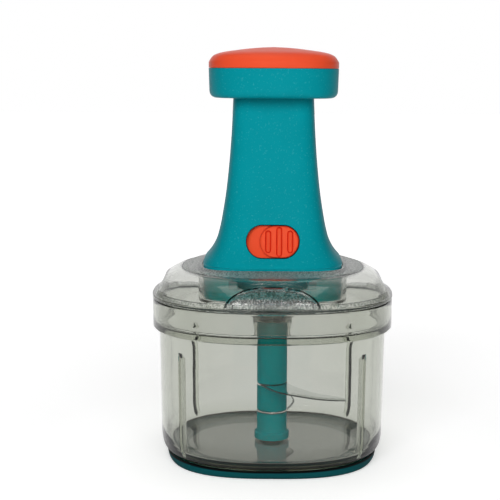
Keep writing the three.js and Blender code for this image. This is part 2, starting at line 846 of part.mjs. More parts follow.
// Coupler: toothed ring, bearing journal and the hexagon that enters the blade tube.
{
  const hexTop = nosePlateTop + seatGap;
  const disk = disc(clutchRadius, ringUnder, ringTop, turnSteps);
  const teeth = sawTeeth(clutchToothRoot, clutchRadius, ringTop, clutchToothHeight, ringTop - ringDisc / 2);
  const journal = disc(bushInner - seatGap, hexTop, ringUnder + ringDisc / 2);
  const hexBottom = hexTop - couplerHexLength;
  const hex = disc(hexCorner(couplerHexAcross), hexBottom, hexTop + couplerHexLength / 2, hexSides);
  const bore = disc(couplerBore, hexBottom - cutOver, ringTop + clutchToothHeight + cutOver);
  add('output_coupler', geometryOf(cut(join(disk, teeth, journal, hex), bore)), whiteAcetal());
}

// Twisted strip: a flat bar whose section turns steadily with height.
const rodTurnAt = (height) => ((nutUnder - height) / rodPitch) * 360;
function twistedBar(width, thickness, bottom, top, stepsPerTurn) {
  const steps = Math.ceil(((top - bottom) / rodPitch) * stepsPerTurn);
  const places = [];
  const half = [[-1, -1], [0, -1], [1, -1], [1, 1], [0, 1], [-1, 1]];
  for (let i = 0; i <= steps; i += 1) {
    const height = sharePoint(i / steps, bottom, top);
    const turn = THREE.MathUtils.degToRad(rodTurnAt(height));
    const cos = Math.cos(turn);
    const sin = Math.sin(turn);
    for (const [u, v] of half) {
      const x = (u * width) / 2;
      const y = (v * thickness) / 2;
      places.push(x * cos - y * sin, x * sin + y * cos, height);
    }
  }
  const corners = [];
  const sides = half.length;
  for (let i = 0; i < steps; i += 1) {
    for (let k = 0; k < sides; k += 1) {
      const a = i * sides + k;
      const b = i * sides + ((k + 1) % sides);
      corners.push(a, b, b + sides, a, b + sides, a + sides);
    }
  }
  const last = steps * sides;
  for (let k = 1; k < sides - 1; k += 1) {
    corners.push(0, k + 1, k);
    corners.push(last, last + k, last + k + 1);
  }
  const geometry = new THREE.BufferGeometry();
  geometry.setAttribute('position', new THREE.Float32BufferAttribute(places, 3));
  geometry.setIndex(corners);
  return solid(geometry);
}

// Nut: toothed disc and hub, with a twisted slot that fits the rod.
{
  const disk = disc(clutchRadius, nutUnder, nutTop, turnSteps);
  const hub = disc(nutHubRadius, nutTop - nutDisc / 2, nutHubTop);
  const teeth = sawTeeth(clutchToothRoot, clutchRadius, ringTop + seatGap,
    clutchToothHeight, nutUnder + nutDisc / 2);
  const slotFoot = nutUnder - clutchToothHeight - cutOver;
  const slotTop = nutHubTop + cutOver;
  const slotWidth = rodWidth + rodGap * 2;
  const slot = twistedBar(slotWidth, rodThickness + rodGap * 2, slotFoot, slotTop, slotTurnSteps);
  add('twist_nut', geometryOf(cut(join(disk, hub, teeth), slot)), whiteAcetal());
}

// Angle of each of the three screws round the clutch housing.
function housingScrewAngle(index) {
  return housingScrewTurn + index * housingScrewStep;
}

// Clutch housing: a cup over the nut, with a collar that the spring stands on.
{
  const inner = housingRadius - housingWall;
  const hole = rodShankRadius + runGap;
  const under = coverTop + seatGap;
  const cup = turned([
    [inner, under],
    [housingFlange, under],
    [housingFlange, under + housingFlangeHeight],
    [housingRadius, under + housingFlangeHeight],
    [housingRadius - housingWall / 2, housingTop],
    [springRadius - springWire, housingTop],
    [springRadius - springWire, housingTop + housingWall],
    [hole, housingTop + housingWall],
    [hole, housingTop - housingWall],
    [inner - housingWall / 2, housingTop - housingWall],
  ], turnSteps);
  const holes = [0, 1, 2].map((index) => {
    const flangeTop = under + housingFlangeHeight;
    const bore = disc(smallScrewRadius + seatGap, under - cutOver, flangeTop + cutOver, smallSteps);
    return bore.translate([housingScrewPlace, 0, 0]).rotate([0, 0, housingScrewAngle(index)]);
  });
  add('clutch_housing', geometryOf(cut(cup, ...holes)), whiteAcetal());
}

// Screws that hold the clutch housing down on the bottom cover.
function smallScrew(headUnder, length) {
  return turned([
    [0, headUnder - length],
    [smallScrewRadius, headUnder - length],
    [smallScrewRadius, headUnder],
    [smallScrewHead, headUnder],
    [smallScrewHead, headUnder + smallScrewHeadHeight / 2],
    [smallScrewHead * screwCrownShare, headUnder + smallScrewHeadHeight],
    [0, headUnder + smallScrewHeadHeight],
  ], smallSteps);
}
[0, 1, 2].forEach((index) => {
  const headUnder = coverTop + seatGap * 2 + housingFlangeHeight;
  const screw = smallScrew(headUnder, housingFlangeHeight).translate([housingScrewPlace, 0, 0]);
  add(`housing_screw_${index + 1}`, geometryOf(screw.rotate([0, 0, housingScrewAngle(index)])), steel());
});

// Return spring, standing on the clutch housing and bearing on the plunger's web.
{
  const bottom = housingTop + seatGap + springWire / 2;
  const top = plungerWebUnder - seatGap - springWire / 2;
  const steps = springTurns * springSteps;
  const sides = springSides;
  const places = [];
  for (let i = 0; i <= steps; i += 1) {
    const turn = (i / steps) * springTurns;
    const climbTurns = springTurns - springFlatTurns * 2;
    const rise = THREE.MathUtils.clamp((turn - springFlatTurns) / climbTurns, 0, 1);
    const height = sharePoint(rise, bottom, top);
    const angle = turn * Math.PI * 2;
    for (let k = 0; k < sides; k += 1) {
      const around = (k / sides) * Math.PI * 2;
      const radius = springRadius + (springWire / 2) * Math.cos(around);
      const rim = height + (springWire / 2) * Math.sin(around);
      places.push(radius * Math.cos(angle), radius * Math.sin(angle), rim);
    }
  }
  const corners = [];
  for (let i = 0; i < steps; i += 1) {
    for (let k = 0; k < sides; k += 1) {
      const a = i * sides + k;
      const b = i * sides + ((k + 1) % sides);
      corners.push(a, b + sides, b, a, a + sides, b + sides);
    }
  }
  for (let k = 1; k < sides - 1; k += 1) {
    corners.push(0, k, k + 1);
    corners.push(steps * sides, steps * sides + k + 1, steps * sides + k);
  }
  const geometry = new THREE.BufferGeometry();
  geometry.setAttribute('position', new THREE.Float32BufferAttribute(places, 3));
  geometry.setIndex(corners);
  add('return_spring', geometryOf(solid(geometry)), steel());
}

// Twisted rod: strip below, round shank and head above, held on the plunger's web.
{
  const shankFoot = nutHubTop + rodShankRadius;
  const headUnder = plungerWebUnder + plungerWeb + seatGap;
  const strip = twistedBar(rodWidth, rodThickness, rodBottom, shankFoot + rodHeadHeight, rodSteps);
  const shank = disc(rodShankRadius, shankFoot, headUnder + rodHeadHeight / 2, smallSteps);
  const head = disc(rodHeadRadius, headUnder, headUnder + rodHeadHeight);
  add('twisted_rod', geometryOf(join(strip, shank, head)), steel());
}

// Plunger: square tube with an inner web, four screw bosses and the lock's notch.
const notchLeft = boltPlace - lockTravel - boltWidth / 2 - runGap;
const notchRight = boltPlace + boltWidth / 2 + runGap;
const notchLeftOfWay = boltPlace - boltWidth / 2 - runGap;
const boltUnder = lockHeight - boltHeight / 2;
{
  const n = plungerExponent;
  const inner = plungerHalf - plungerWall;
  const tube = loft([
    [inner, plungerBottom, n],
    [plungerHalf, plungerBottom, n],
    [plungerHalf, plungerTop, n],
    [inner, plungerTop, n],
    [inner, plungerWebUnder + plungerWeb, n],
    [rodShankRadius + seatGap, plungerWebUnder + plungerWeb, 2],
    [rodShankRadius + seatGap, plungerWebUnder, 2],
    [inner, plungerWebUnder, n],
  ]);
  const bosses = bossPlaces.map((angle) => {
    const bottom = plungerTop - plungerBossLength;
    const boss = ring(smallScrewRadius + seatGap / 2, plungerBossRadius, bottom, plungerTop, smallSteps);
    const start = (smallScrewRadius + plungerBossRadius) / 2;
    const corner = plungerHalf * Math.SQRT2 * Math.SQRT1_2 ** (2 / n);
    const reach = corner - plungerWall / 2 - plungerBossPlace * Math.SQRT2;
    const web = block(reach - start, plungerWall, plungerBossLength,
      start + (reach - start) / 2, 0, bottom + plungerBossLength / 2);
    return join(boss, web).translate([plungerBossPlace * Math.SQRT2, 0, 0]).rotate([0, 0, angle]);
  });
  const roof = boltUnder + boltHeight + runGap;
  const deep = plungerWall * 3;
  const wayHeight = roof - plungerBottom + cutOver;
  const way = block(notchRight - notchLeftOfWay, deep, wayHeight,
    (notchRight + notchLeftOfWay) / 2, -plungerHalf, roof - wayHeight / 2);
  const pocketHeight = boltHeight + runGap * 2;
  const pocket = block(notchRight - notchLeft, deep, pocketHeight,
    (notchRight + notchLeft) / 2, -plungerHalf, roof - pocketHeight / 2);
  add('plunger', geometryOf(cut(join(tube, ...bosses), way, pocket)), whiteAcetal());
}

// Knob shell: a shallow cup whose web carries the plunger.
{
  const n = knobExponent;
  const under = [];
  for (let i = 0; i <= 3; i += 1) {
    const angle = (i / 3) * Math.PI / 2;
    under.push([
      knobHalf - knobDraft - knobUnderRadius + knobUnderRadius * Math.sin(angle),
      knobUnder + knobUnderRadius - knobUnderRadius * Math.cos(angle),
      n,
    ]);
  }
  const mouth = columnTopHalf + seatGap * 3;
  const inner = knobHalf - knobWall;
  const shell = loft([
    [mouth, knobUnder, columnExponent],
    ...under,
    [knobHalf, knobSeam, n],
    [inner, knobSeam, n],
    [inner, webUnder + knobWeb, n],
    [plungerHalf / 3, webUnder + knobWeb, 2],
    [plungerHalf / 3, webUnder, 2],
    [mouth, webUnder, columnExponent],
  ]);
  const holes = bossPlaces.map((angle) => {
    const webTop = webUnder + knobWeb;
    const hole = disc(smallScrewRadius + seatGap, webUnder - cutOver, webTop + cutOver, smallSteps);
    return hole.translate([plungerBossPlace * Math.SQRT2, 0, 0]).rotate([0, 0, angle]);
  });
  add('knob_shell', geometryOf(cut(shell, ...holes)), tealPlastic());
}

// Screws through the knob's web into the plunger.
bossPlaces.forEach((angle, index) => {
  const screw = smallScrew(webUnder + knobWeb + seatGap, smallScrewLength);
  const placed = screw.translate([plungerBossPlace * Math.SQRT2, 0, 0]).rotate([0, 0, angle]);
  add(`knob_screw_${index + 1}`, geometryOf(placed), steel());
});

// Knob cap: domed cover with a lip that snaps into the shell.
{
  const n = knobExponent;
  const under = knobSeam + seatGap;
  const shoulderAt = under + capStraight;
  const top = under + capHeight;
  const dome = capShares.map(([width, rise]) => [knobHalf * width, sharePoint(rise, shoulderAt, top), n]);
  const within = knobHalf - knobWall;
  const hollow = capShares.filter((share, index) => index % 2 === 1).map(([width, rise]) => [
    (within - capLipWall) * width,
    sharePoint(rise, shoulderAt, top - knobWall),
    n,
  ]);
  const lip = within - seatGap;
  const cap = loft([
    [0, top, n],
    ...dome.reverse(),
    [knobHalf, shoulderAt, n],
    [knobHalf, under, n],
    [lip, under, n],
    [lip, under - capLipDepth, n],
    [lip - capLipWall, under - capLipDepth, n],
    [lip - capLipWall, shoulderAt, n],
    ...hollow,
    [0, top - knobWall, n],
  ]);
  add('knob_cap', geometryOf(cap), orangePlastic());
}

// Lock slide: plate behind the wall, ribbed grip in the slot, and the bolt.
{
  const low = lockHeight - lockPlateHeight / 2 - cutOver;
  const high = lockHeight + lockPlateHeight / 2 + cutOver;
  const wide = lockPlateLength * 2;
  const free = columnCore(plateFront);
  const plate = frontStadium(lockPlateLength, lockPlateHeight, lockPlateShift, lockHeight)
    .intersect(wallSlab(plateFront, plateBack, wide, low, high))
    .intersect(free)
    .intersect(free.translate([lockTravel, 0, 0]));
  const gripEnd = lockSlotLength / 2 - seatGap;
  const gripMiddle = gripEnd - lockGripLength / 2;
  const grip = frontStadium(lockGripLength, lockSlotHeight - seatGap * 2, gripMiddle, lockHeight)
    .intersect(wallSlab(-lockGripProud, plateFront + lockPlateThickness / 2, wide, low, high));
  const ribs = [-1, 0, 1].map((side) => {
    const tall = side === 0 ? lockSlotHeight - seatGap * 6 : lockRibHeight;
    const rib = frontStadium(tall, lockRibWidth, 0, 0).rotate([0, 90, 0]);
    return rib.translate([gripMiddle + side * lockRibPitch, 0, lockHeight])
      .intersect(wallSlab(-lockGripProud - lockRibProud, 0, wide, low, high));
  });
  const depth = columnTopHalf + (columnFootHalf - columnTopHalf) * boltDepthShare - plateFront;
  const boltEnd = plungerHalf - plungerWall + boltReach / 2;
  const bolt = block(boltWidth, depth - boltEnd, boltHeight,
    boltPlace, -(depth + boltEnd) / 2, lockHeight);
  add('lock_slide', geometryOf(join(plate, grip, ...ribs, bolt)), orangePlastic());
}

// Retainer: keeps the lock slide against the wall, with a window for the bolt.
{
  const low = lockHeight - retainerHeight / 2;
  const high = lockHeight + retainerHeight / 2;
  const clear = skirtHalf - columnWall - seatGap;
  const within = loft([
    [0, low, columnFootExponent],
    [clear, low, columnFootExponent],
    [clear, high, columnFootExponent],
    [0, high, columnFootExponent],
  ]);
  const slab = wallSlab(retainerFront, retainerBack, retainerLength, low, high).intersect(within);
  const holes = [-1, 1].map((side) => frontPin(stakeRadius + seatGap, 0, lockHeight + side * stakePlace));
  const windowLength = lockTravel + boltWidth + runGap * 4;
  const window = block(windowLength, columnFootHalf, boltHeight + runGap * 4,
    boltPlace - lockTravel / 2, -columnFootHalf, lockHeight);
  add('lock_retainer', geometryOf(cut(slab, window, ...holes)), darkTealPlastic());
}

// Blade: a curved steel plate on a ring, ground to a thin edge on its bulging side.
function bladePlate(bottom, turnDegrees) {
  const outline = bladeOutlineShares.map(([u, w]) => new THREE.Vector2(u * bladeReach, w * bladeReach));
  const shape = new THREE.Shape();
  shape.moveTo(outline[0].x, outline[0].y);
  shape.splineThru(outline.slice(1, 8));
  outline.slice(8).forEach((point) => shape.lineTo(point.x, point.y));
  const settings = { depth: bladeThickness, bevelEnabled: false, curveSegments: bladeSteps };
  const geometry = new THREE.ExtrudeGeometry(shape, settings);
  const plate = solid(geometry.translate(0, 0, bottom));
  const hub = disc(bladeHub, bottom, bottom + bladeThickness, turnSteps);
  const hole = disc(coreRadius + seatGap, bottom - cutOver, bottom + bladeThickness + cutOver);
  return cut(join(plate, hub), hole).rotate([0, 0, turnDegrees]);
}
add('lower_blade', geometryOf(bladePlate(lowerBladeUnder, lowerBladeTurn)), steel());
add('upper_blade', geometryOf(bladePlate(upperBladeUnder, upperBladeTurn)), steel());

// Foot of the blade stack: flange, sleeve and the core that the rest slides on.
{
  const top = lowerBladeUnder - seatGap;
  const bottomPin = bowlUnder - pinBossDrop / 2 + seatGap;
  const foot = turned([
    [pinRadius + seatGap, stackFoot],
    [stackFootRadius, stackFoot],
    [stackFootRadius, stackFoot + stackFootHeight],
    [tubeRadius, stackFoot + stackFootHeight + seatGap],
    [tubeRadius, top],
    [coreRadius, top],
    [coreRadius, coreTop - coreRadius / 5],
    [coreRadius * coreTipShare, coreTop],
    [0, coreTop],
    [0, bottomPin + pinLength + seatGap],
    [pinRadius + seatGap, bottomPin + pinLength + seatGap],
  ]);
  add('blade_foot', geometryOf(foot), tealPlastic());
}

// Spacer between the two blades.
const spacer = ring(coreRadius + seatGap, tubeRadius, spacerUnder, spacerUnder + spacerHeight, turnSteps);
add('blade_spacer', geometryOf(spacer), tealPlastic());

// Blade tube: hollow for the rod, with a six-sided socket at its top.
{
  const tube = turned([
    [coreRadius + seatGap, tubeUnder],
    [tubeRadius, tubeUnder],
    [tubeRadius, tubeTop - cutOver / 2],
    [tubeRadius - cutOver / 2, tubeTop],
    [coreRadius + seatGap, tubeTop],
  ], turnSteps);
  const bore = disc(tubeBore, coreTop + seatGap * 3, tubeTop - socketDepth);
  const socketCorner = hexCorner(couplerHexAcross + seatGap * 2);
  const socket = disc(socketCorner, tubeTop - socketDepth - cutOver, tubeTop + cutOver, hexSides);
  add('blade_tube', geometryOf(cut(tube, bore, socket)), tealPlastic());
}

export default chopper;
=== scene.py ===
import math

import bpy
import numpy as np
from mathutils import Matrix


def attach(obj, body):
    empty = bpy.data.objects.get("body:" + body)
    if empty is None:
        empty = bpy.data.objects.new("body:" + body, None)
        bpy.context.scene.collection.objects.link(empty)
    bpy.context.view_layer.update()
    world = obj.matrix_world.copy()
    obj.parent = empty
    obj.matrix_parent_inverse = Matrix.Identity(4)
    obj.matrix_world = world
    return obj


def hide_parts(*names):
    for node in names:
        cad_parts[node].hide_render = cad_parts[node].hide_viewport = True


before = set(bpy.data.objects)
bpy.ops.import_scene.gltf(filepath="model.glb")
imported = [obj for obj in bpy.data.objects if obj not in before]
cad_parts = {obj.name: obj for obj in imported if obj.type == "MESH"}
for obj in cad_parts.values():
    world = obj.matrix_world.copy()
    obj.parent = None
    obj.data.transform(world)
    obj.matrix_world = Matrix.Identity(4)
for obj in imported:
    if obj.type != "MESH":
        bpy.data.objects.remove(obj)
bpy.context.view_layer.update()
scene = bpy.context.scene
scene.view_settings.view_transform = "Standard"

# Bowl: one injection moulding in smoky clear SAN, a soft square in plan.
# It has a rounded foot, a stepped collar that takes the lid, four thin ribs
# inside its corners, and a boss in the floor that holds the bearing pin.
mm = 0.001
bowl_power = 2.4
bowl_half = 62.8
bowl_inner = 60.6
bowl_foot = 3.2
bowl_floor = 6.0
bowl_top = 90.0
collar_half = 66.4
collar_inner = 64.2
collar_foot = 74.0
collar_seat = 77.4
boss_half = 6
boss_top = 6.8
boss_bore = 2.05
rib_depth = 2.4
rib_width = 2.6
rib_top = 63.0
rib_foot = 8
rib_lean = math.radians(41.6)
bowl_tint = 150.0


def rounded(points, radii, steps=6):
    """Profile with its corners eased: a corner gives way to the curve
    (1-t)^2 a + 2t(1-t) corner + t^2 b, where a and b lie the corner's radius
    away along its two edges. A radius of zero keeps the corner."""
    points = np.array(points, float)
    t = np.linspace(0, 1, steps)[:, None]
    out = []
    for i, (corner, radius) in enumerate(zip(points, radii)):
        if radius == 0:
            out.append(corner[None])
            continue
        ends = []
        for other in (points[i - 1], points[(i + 1) % len(points)]):
            edge = other - corner
            length = np.hypot(edge[0], edge[1])
            ends.append(corner + edge * min(radius / length, 0.48))
        out.append((1 - t) ** 2 * ends[0] + 2 * t * (1 - t) * corner + t ** 2 * ends[1])
    return np.concatenate(out)


def through(points, count):
    """Smooth curve through points: each coordinate is a cubic between
    neighbours, over the length along the points, with the slope at each point
    taken from the points on both sides of it."""
    points = np.array(points, float)
    length = np.concatenate([[0], np.cumsum(np.hypot(*np.diff(points[:, :2], axis=0).T))])
    slope = np.gradient(points, length, axis=0)
    at = np.linspace(0, length[-1], count)
    i = np.clip(np.searchsorted(length, at, side="right") - 1, 0, len(points) - 2)
    gap = (length[i + 1] - length[i])[:, None]
    t = (at - length[i])[:, None] / gap
    return (
        (2 * t ** 3 - 3 * t ** 2 + 1) * points[i]
        + (t ** 3 - 2 * t ** 2 + t) * gap * slope[i]
        + (3 * t ** 2 - 2 * t ** 3) * points[i + 1]
        + (t ** 3 - t ** 2) * gap * slope[i + 1]
    )


def dense(profile, gap, closed):
    """Profile with points added evenly on each edge, so that none is longer than gap."""
    ends = np.concatenate([profile, profile[:1]]) if closed else profile
    out = [ends[:1]]
    for a, b in zip(ends[:-1], ends[1:]):
        pieces = max(1, math.ceil(np.hypot(*(b - a)[:2]) / gap))
        out.append(a + (b - a) * (np.arange(1, pieces + 1) / pieces)[:, None])
    out = np.concatenate(out)
    return out[:-1] if closed else out


def around(profile, turns):
    """Points of a soft square body: a profile row of half width, height and
    power goes round the axis at the distance
    half / (|cos turn|^power + |sin turn|^power)^(1/power).
    A power of two is a circle."""
    half, height, power = (profile[:, k, None] for k in range(3))
    c, s = np.cos(turns), np.sin(turns)
    reach = half / (np.abs(c) ** power + np.abs(s) ** power) ** (1 / power)
    return np.stack([reach * c, reach * s, height + 0 * reach], axis=-1)


def skin(points, closed):
    """Faces over rows of points that run round a section. Quads join each row
    to the next. Where closed is true the last row joins the first, and
    otherwise a fan closes each end on its middle. The signed volume, the sum
    of a . (b x c) over the triangles, turns the faces outwards where it is
    negative."""
    rows, count = points.shape[:2]
    place = points.reshape(-1, 3)
    index = np.arange(rows * count).reshape(rows, count)
    nearer = index if closed else index[:-1]
    farther = np.roll(index, -1, axis=0) if closed else index[1:]
    corners = [nearer, np.roll(nearer, -1, 1), np.roll(farther, -1, 1), farther]
    quads = np.stack(corners, -1).reshape(-1, 4)
    fans = np.zeros((0, 3), int)
    if not closed:
        place = np.concatenate([place, [points[0].mean(axis=0)], [points[-1].mean(axis=0)]])
        first, last = index[0], index[-1]
        fans = np.concatenate([
            np.stack([np.roll(first, -1), first, first * 0 + rows * count], -1),
            np.stack([last, np.roll(last, -1), last * 0 + rows * count + 1], -1),
        ])
    halves = np.concatenate([quads[:, :3], quads[:, [0, 2, 3]], fans])
    a, b, c = (place[halves[:, k]] for k in range(3))
    if np.sum(a * np.cross(b, c)) < 0:
        quads, fans = quads[:, ::-1], fans[:, ::-1]
    return place, quads, fans


sharp_turn = math.radians(34)


def make_piece(name, skins, material):
    """One object from one or more skins in millimetres, smooth but for edges
    that turn by more than the sharp turn."""
    places, faces, start = [], [], 0
    for place, quads, fans in skins:
        places.append(place * mm)
        faces += (quads + start).tolist() + (fans + start).tolist()
        start += len(place)
    mesh = bpy.data.meshes.new(name)
    mesh.from_pydata(np.concatenate(places).tolist(), [], faces)
    mesh.shade_smooth()
    mesh.set_sharp_from_angle(angle=sharp_turn)
    mesh.materials.append(material)
    piece = bpy.data.objects.new(name, mesh)
    scene.collection.objects.link(piece)
    return piece


def linear(code):
    """Linear colour of an sRGB hex value."""
    part = np.array([int(code[i:i + 2], 16) for i in (1, 3, 5)]) / 255
    value = np.where(part <= 0.04045, part / 12.92, ((part + 0.055) / 1.055) ** 2.4)
    return (*value.tolist(), 1.0)


def add_node(tree, kind, inputs=None, **settings):
    """Adds a node with its settings. An input takes a plain value, or another
    node's output as a link."""
    made = tree.nodes.new("ShaderNode" + kind)
    for name, value in settings.items():
        setattr(made, name, value)
    for name, value in (inputs or {}).items():
        if isinstance(value, bpy.types.NodeSocket):
            tree.links.new(value, made.inputs[name])
        else:
            made.inputs[name].default_value = value
    return made


def blank(name):
    """A material with an empty tree."""
    material = bpy.data.materials.new(name)
    material.use_nodes = True
    material.node_tree.nodes.clear()
    return material, material.node_tree


# SAN, a clear styrene plastic, tinted grey-green in the melt and moulded in a
# polished tool: the tint deepens with the thickness that the light passes, and
# a slow waviness of the polish, about 9 mm long, bends the reflections.
# The tool is matt at the lid's top, its inner ledge and its finger grips,
# where the mesh says so in its frost attribute: these are lightly
# spark-eroded. The grain is drawn 0.9 mm wide, coarser than the real one, so
# that it shows.
grip_frost = 0.55
# At a height t over the shoulder's foot, in millimetres, the border of a
# finger grip lies grip_half - grip_slope t - grip_curve t^2 from the middle.
# The lid's mesh and its plastic both go by this.
shoulder_foot = 92.3
grip_half = 63.7
grip_slope = 0.25
grip_curve = 0.031


def smoky_plastic(name, density):
    """Smoky SAN with a given density of its tint, so that a thick and a thin
    wall can look alike."""
    smoky, tree = blank(name)
    spot = add_node(tree, "TexCoord")
    waves = add_node(tree, "TexNoise", {
        "Vector": spot.outputs["Object"], "Scale": 110, "Detail": 1,
    })
    wavy = add_node(tree, "Bump", {
        "Height": waves.outputs[0], "Strength": 0.25, "Distance": 0.08 * mm,
    })
    frost = add_node(tree, "Attribute", attribute_name="frost")
    grain = add_node(tree, "TexNoise", {
        "Vector": spot.outputs["Object"], "Scale": 1100, "Detail": 2,
    })
    grit = add_node(tree, "Bump", {
        "Height": grain.outputs[0], "Strength": frost.outputs["Fac"],
        "Distance": 0.08 * mm, "Normal": wavy.outputs[0],
    })
    matt = add_node(tree, "MapRange", {
        "Value": frost.outputs["Fac"], "To Min": 0.02, "To Max": 0.34,
    })
    clear = add_node(tree, "MapRange", {
        "Value": frost.outputs["Fac"], "To Min": 1.0, "To Max": 0.8,
    })
    # The pits of the grain show grey, and the grips are 0.3 greyer all over.
    pits = add_node(tree, "MapRange", {
        "Value": grain.outputs[0], "From Min": 0.45, "From Max": 0.56, "To Min": 0.0,
        "To Max": 0.8,
    })
    full = add_node(tree, "MapRange", {"Value": frost.outputs["Fac"], "From Max": grip_frost})
    pits = add_node(tree, "Math", {0: pits.outputs[0], 1: full.outputs[0]}, operation="MULTIPLY")
    grips = add_node(tree, "Math", {
        0: frost.outputs["Fac"], 1: grip_frost, 2: 0.1,
    }, operation="COMPARE")
    pits = add_node(tree, "Math", {
        0: grips.outputs[0], 1: 0.3, 2: pits.outputs[0],
    }, operation="MULTIPLY_ADD")
    grain_tone_and_edge_shade = add_node(tree, "Mix", {
        0: pits.outputs[0], 6: linear("#fafafa"), 7: linear("#747c7a"),
    }, data_type="RGBA")
    # Painted shade: sharp edges show dark, the colour going to #23282a there in place of the dark
    # lines that the light draws at them in the clear plastic: the borders of the matt top, where
    # its frost sets in, and a line 0.3 mm deep along a grip's border. The larger of |x| and |y| is
    # the distance from the middle there.
    border = add_node(tree, "Math", {
        0: frost.outputs["Fac"], 1: 0.775, 2: 0.2,
    }, operation="COMPARE")
    apart = add_node(tree, "SeparateXYZ", {0: spot.outputs["Object"]})
    sides = [
        add_node(tree, "Math", {0: apart.outputs[way]}, operation="ABSOLUTE")
        for way in ("X", "Y")
    ]
    wider = add_node(tree, "Math", {
        0: sides[0].outputs[0], 1: sides[1].outputs[0],
    }, operation="MAXIMUM")
    rise = add_node(tree, "Math", {
        0: apart.outputs["Z"], 1: shoulder_foot * mm,
    }, operation="SUBTRACT")
    slope = add_node(tree, "Math", {
        0: rise.outputs[0], 1: grip_curve / mm, 2: grip_slope,
    }, operation="MULTIPLY_ADD")
    flat = add_node(tree, "Math", {
        0: slope.outputs[0], 1: rise.outputs[0], 2: wider.outputs[0],
    }, operation="MULTIPLY_ADD")
    rim = add_node(tree, "Math", {
        0: flat.outputs[0], 1: (grip_half - 0.08) * mm, 2: 0.15 * mm,
    }, operation="COMPARE")
    above = add_node(tree, "Math", {0: rise.outputs[0], 1: 0.4 * mm}, operation="GREATER_THAN")
    rim = add_node(tree, "Math", {0: rim.outputs[0], 1: above.outputs[0]}, operation="MULTIPLY")
    edges = add_node(tree, "Math", {0: rim.outputs[0], 1: border.outputs[0]}, operation="MAXIMUM")
    grain_tone_and_edge_shade = add_node(tree, "Mix", {
        0: edges.outputs[0], 6: grain_tone_and_edge_shade.outputs[2], 7: linear("#23282a"),
    }, data_type="RGBA")
    shader = add_node(tree, "BsdfPrincipled", {
        "Base Color": grain_tone_and_edge_shade.outputs[2], "Roughness": matt.outputs[0], "IOR": 1.52,
        "Specular IOR Level": 0.22,
        "Transmission Weight": clear.outputs[0], "Normal": grit.outputs[0],
    })
    tint = add_node(tree, "VolumeAbsorption", {"Color": linear("#9da584"), "Density": density})
    # Lamp light goes straight on through the wall, dimmed by its faces.
    ray = add_node(tree, "LightPath")
    onward = add_node(tree, "BsdfTransparent", {"Color": linear("#e2e5d8")})
    wall = add_node(tree, "MixShader", {
        0: ray.outputs["Is Shadow Ray"], 1: shader.outputs[0], 2: onward.outputs[0],
    })
    add_node(tree, "OutputMaterial", {"Surface": wall.outputs[0], "Volume": tint.outputs[0]})
    return smoky


bowl_san = smoky_plastic("smoky_san_bowl", bowl_tint)
bowl_profile = rounded([
    [boss_half, 1.2, 2], [boss_half, bowl_foot, 2],
    [53.6, bowl_foot, bowl_power], [58.2, 5.0, bowl_power],
    [60.8, 7.8, bowl_power], [61.8, 12.2, bowl_power], [bowl_half, 73.6, bowl_power],
    [collar_half, collar_foot, bowl_power], [collar_half, bowl_top, bowl_power],
    [collar_inner, bowl_top, bowl_power], [collar_inner, collar_seat, bowl_power],
    [bowl_inner, 77.0, bowl_power], [59.9, 15.0, bowl_power],
    [58.3, 8.8, bowl_power], [51.4, bowl_floor, bowl_power], [boss_half, bowl_floor, 2],
    [boss_half, boss_top, 2], [boss_bore, boss_top, 2], [boss_bore, 2.2, 2],
], [0, 0.5, 3, 2.4, 2.4, 3, 0.7, 1.0, 0.8, 0.6, 0.8, 1.0, 4, 3, 4, 0.5, 0.3, 0.2, 0])
bowl_profile = dense(bowl_profile, 3, False)
rib_turns = np.array([
    rib_lean, math.pi - rib_lean, math.pi + rib_lean, 2 * math.pi - rib_lean,
])
rib_columns = (rib_turns[:, None] + np.linspace(-1, 1, 21) * 0.03).ravel()
even_columns = np.linspace(0, 2 * math.pi, 360, endpoint=False) + 0.004
bowl_turns = np.unique(np.concatenate([even_columns, rib_columns]).round(6))
points = around(bowl_profile, bowl_turns)
# The ribs are a ridge of the inner wall: the wall's distance from the axis
# falls by their depth within half their width of a rib's middle.
off = np.abs((bowl_turns[:, None] - rib_turns + math.pi) % (2 * math.pi) - math.pi).min(axis=1)
height = bowl_profile[:, 1, None]
reach = np.hypot(points[..., 0], points[..., 1])
past_rim = np.arange(len(bowl_profile)) > np.argmax(bowl_profile[:, 1])
inner_rows = past_rim & (bowl_profile[:, 0] > 30)
ridge = np.clip((rib_width / 2 + 0.35 - off * reach) / 0.45, 0, 1)
ends = np.clip((rib_top + 0.6 - height) / 0.8, 0, 1) * np.clip((height - rib_foot) / 2.5, 0, 1)
ridge *= ends * inner_rows[:, None]
floor_reach = 46 / (0.5 ** (bowl_power / 2) * 2) ** (1 / bowl_power)
drop = np.where(reach > floor_reach, rib_depth * ridge, 0)
points[..., :2] *= (1 - drop / np.maximum(reach, 1))[..., None]
bowl = make_piece("bowl_body", [skin(points, False)], bowl_san)
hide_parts("bowl")
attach(bowl, "bowl")
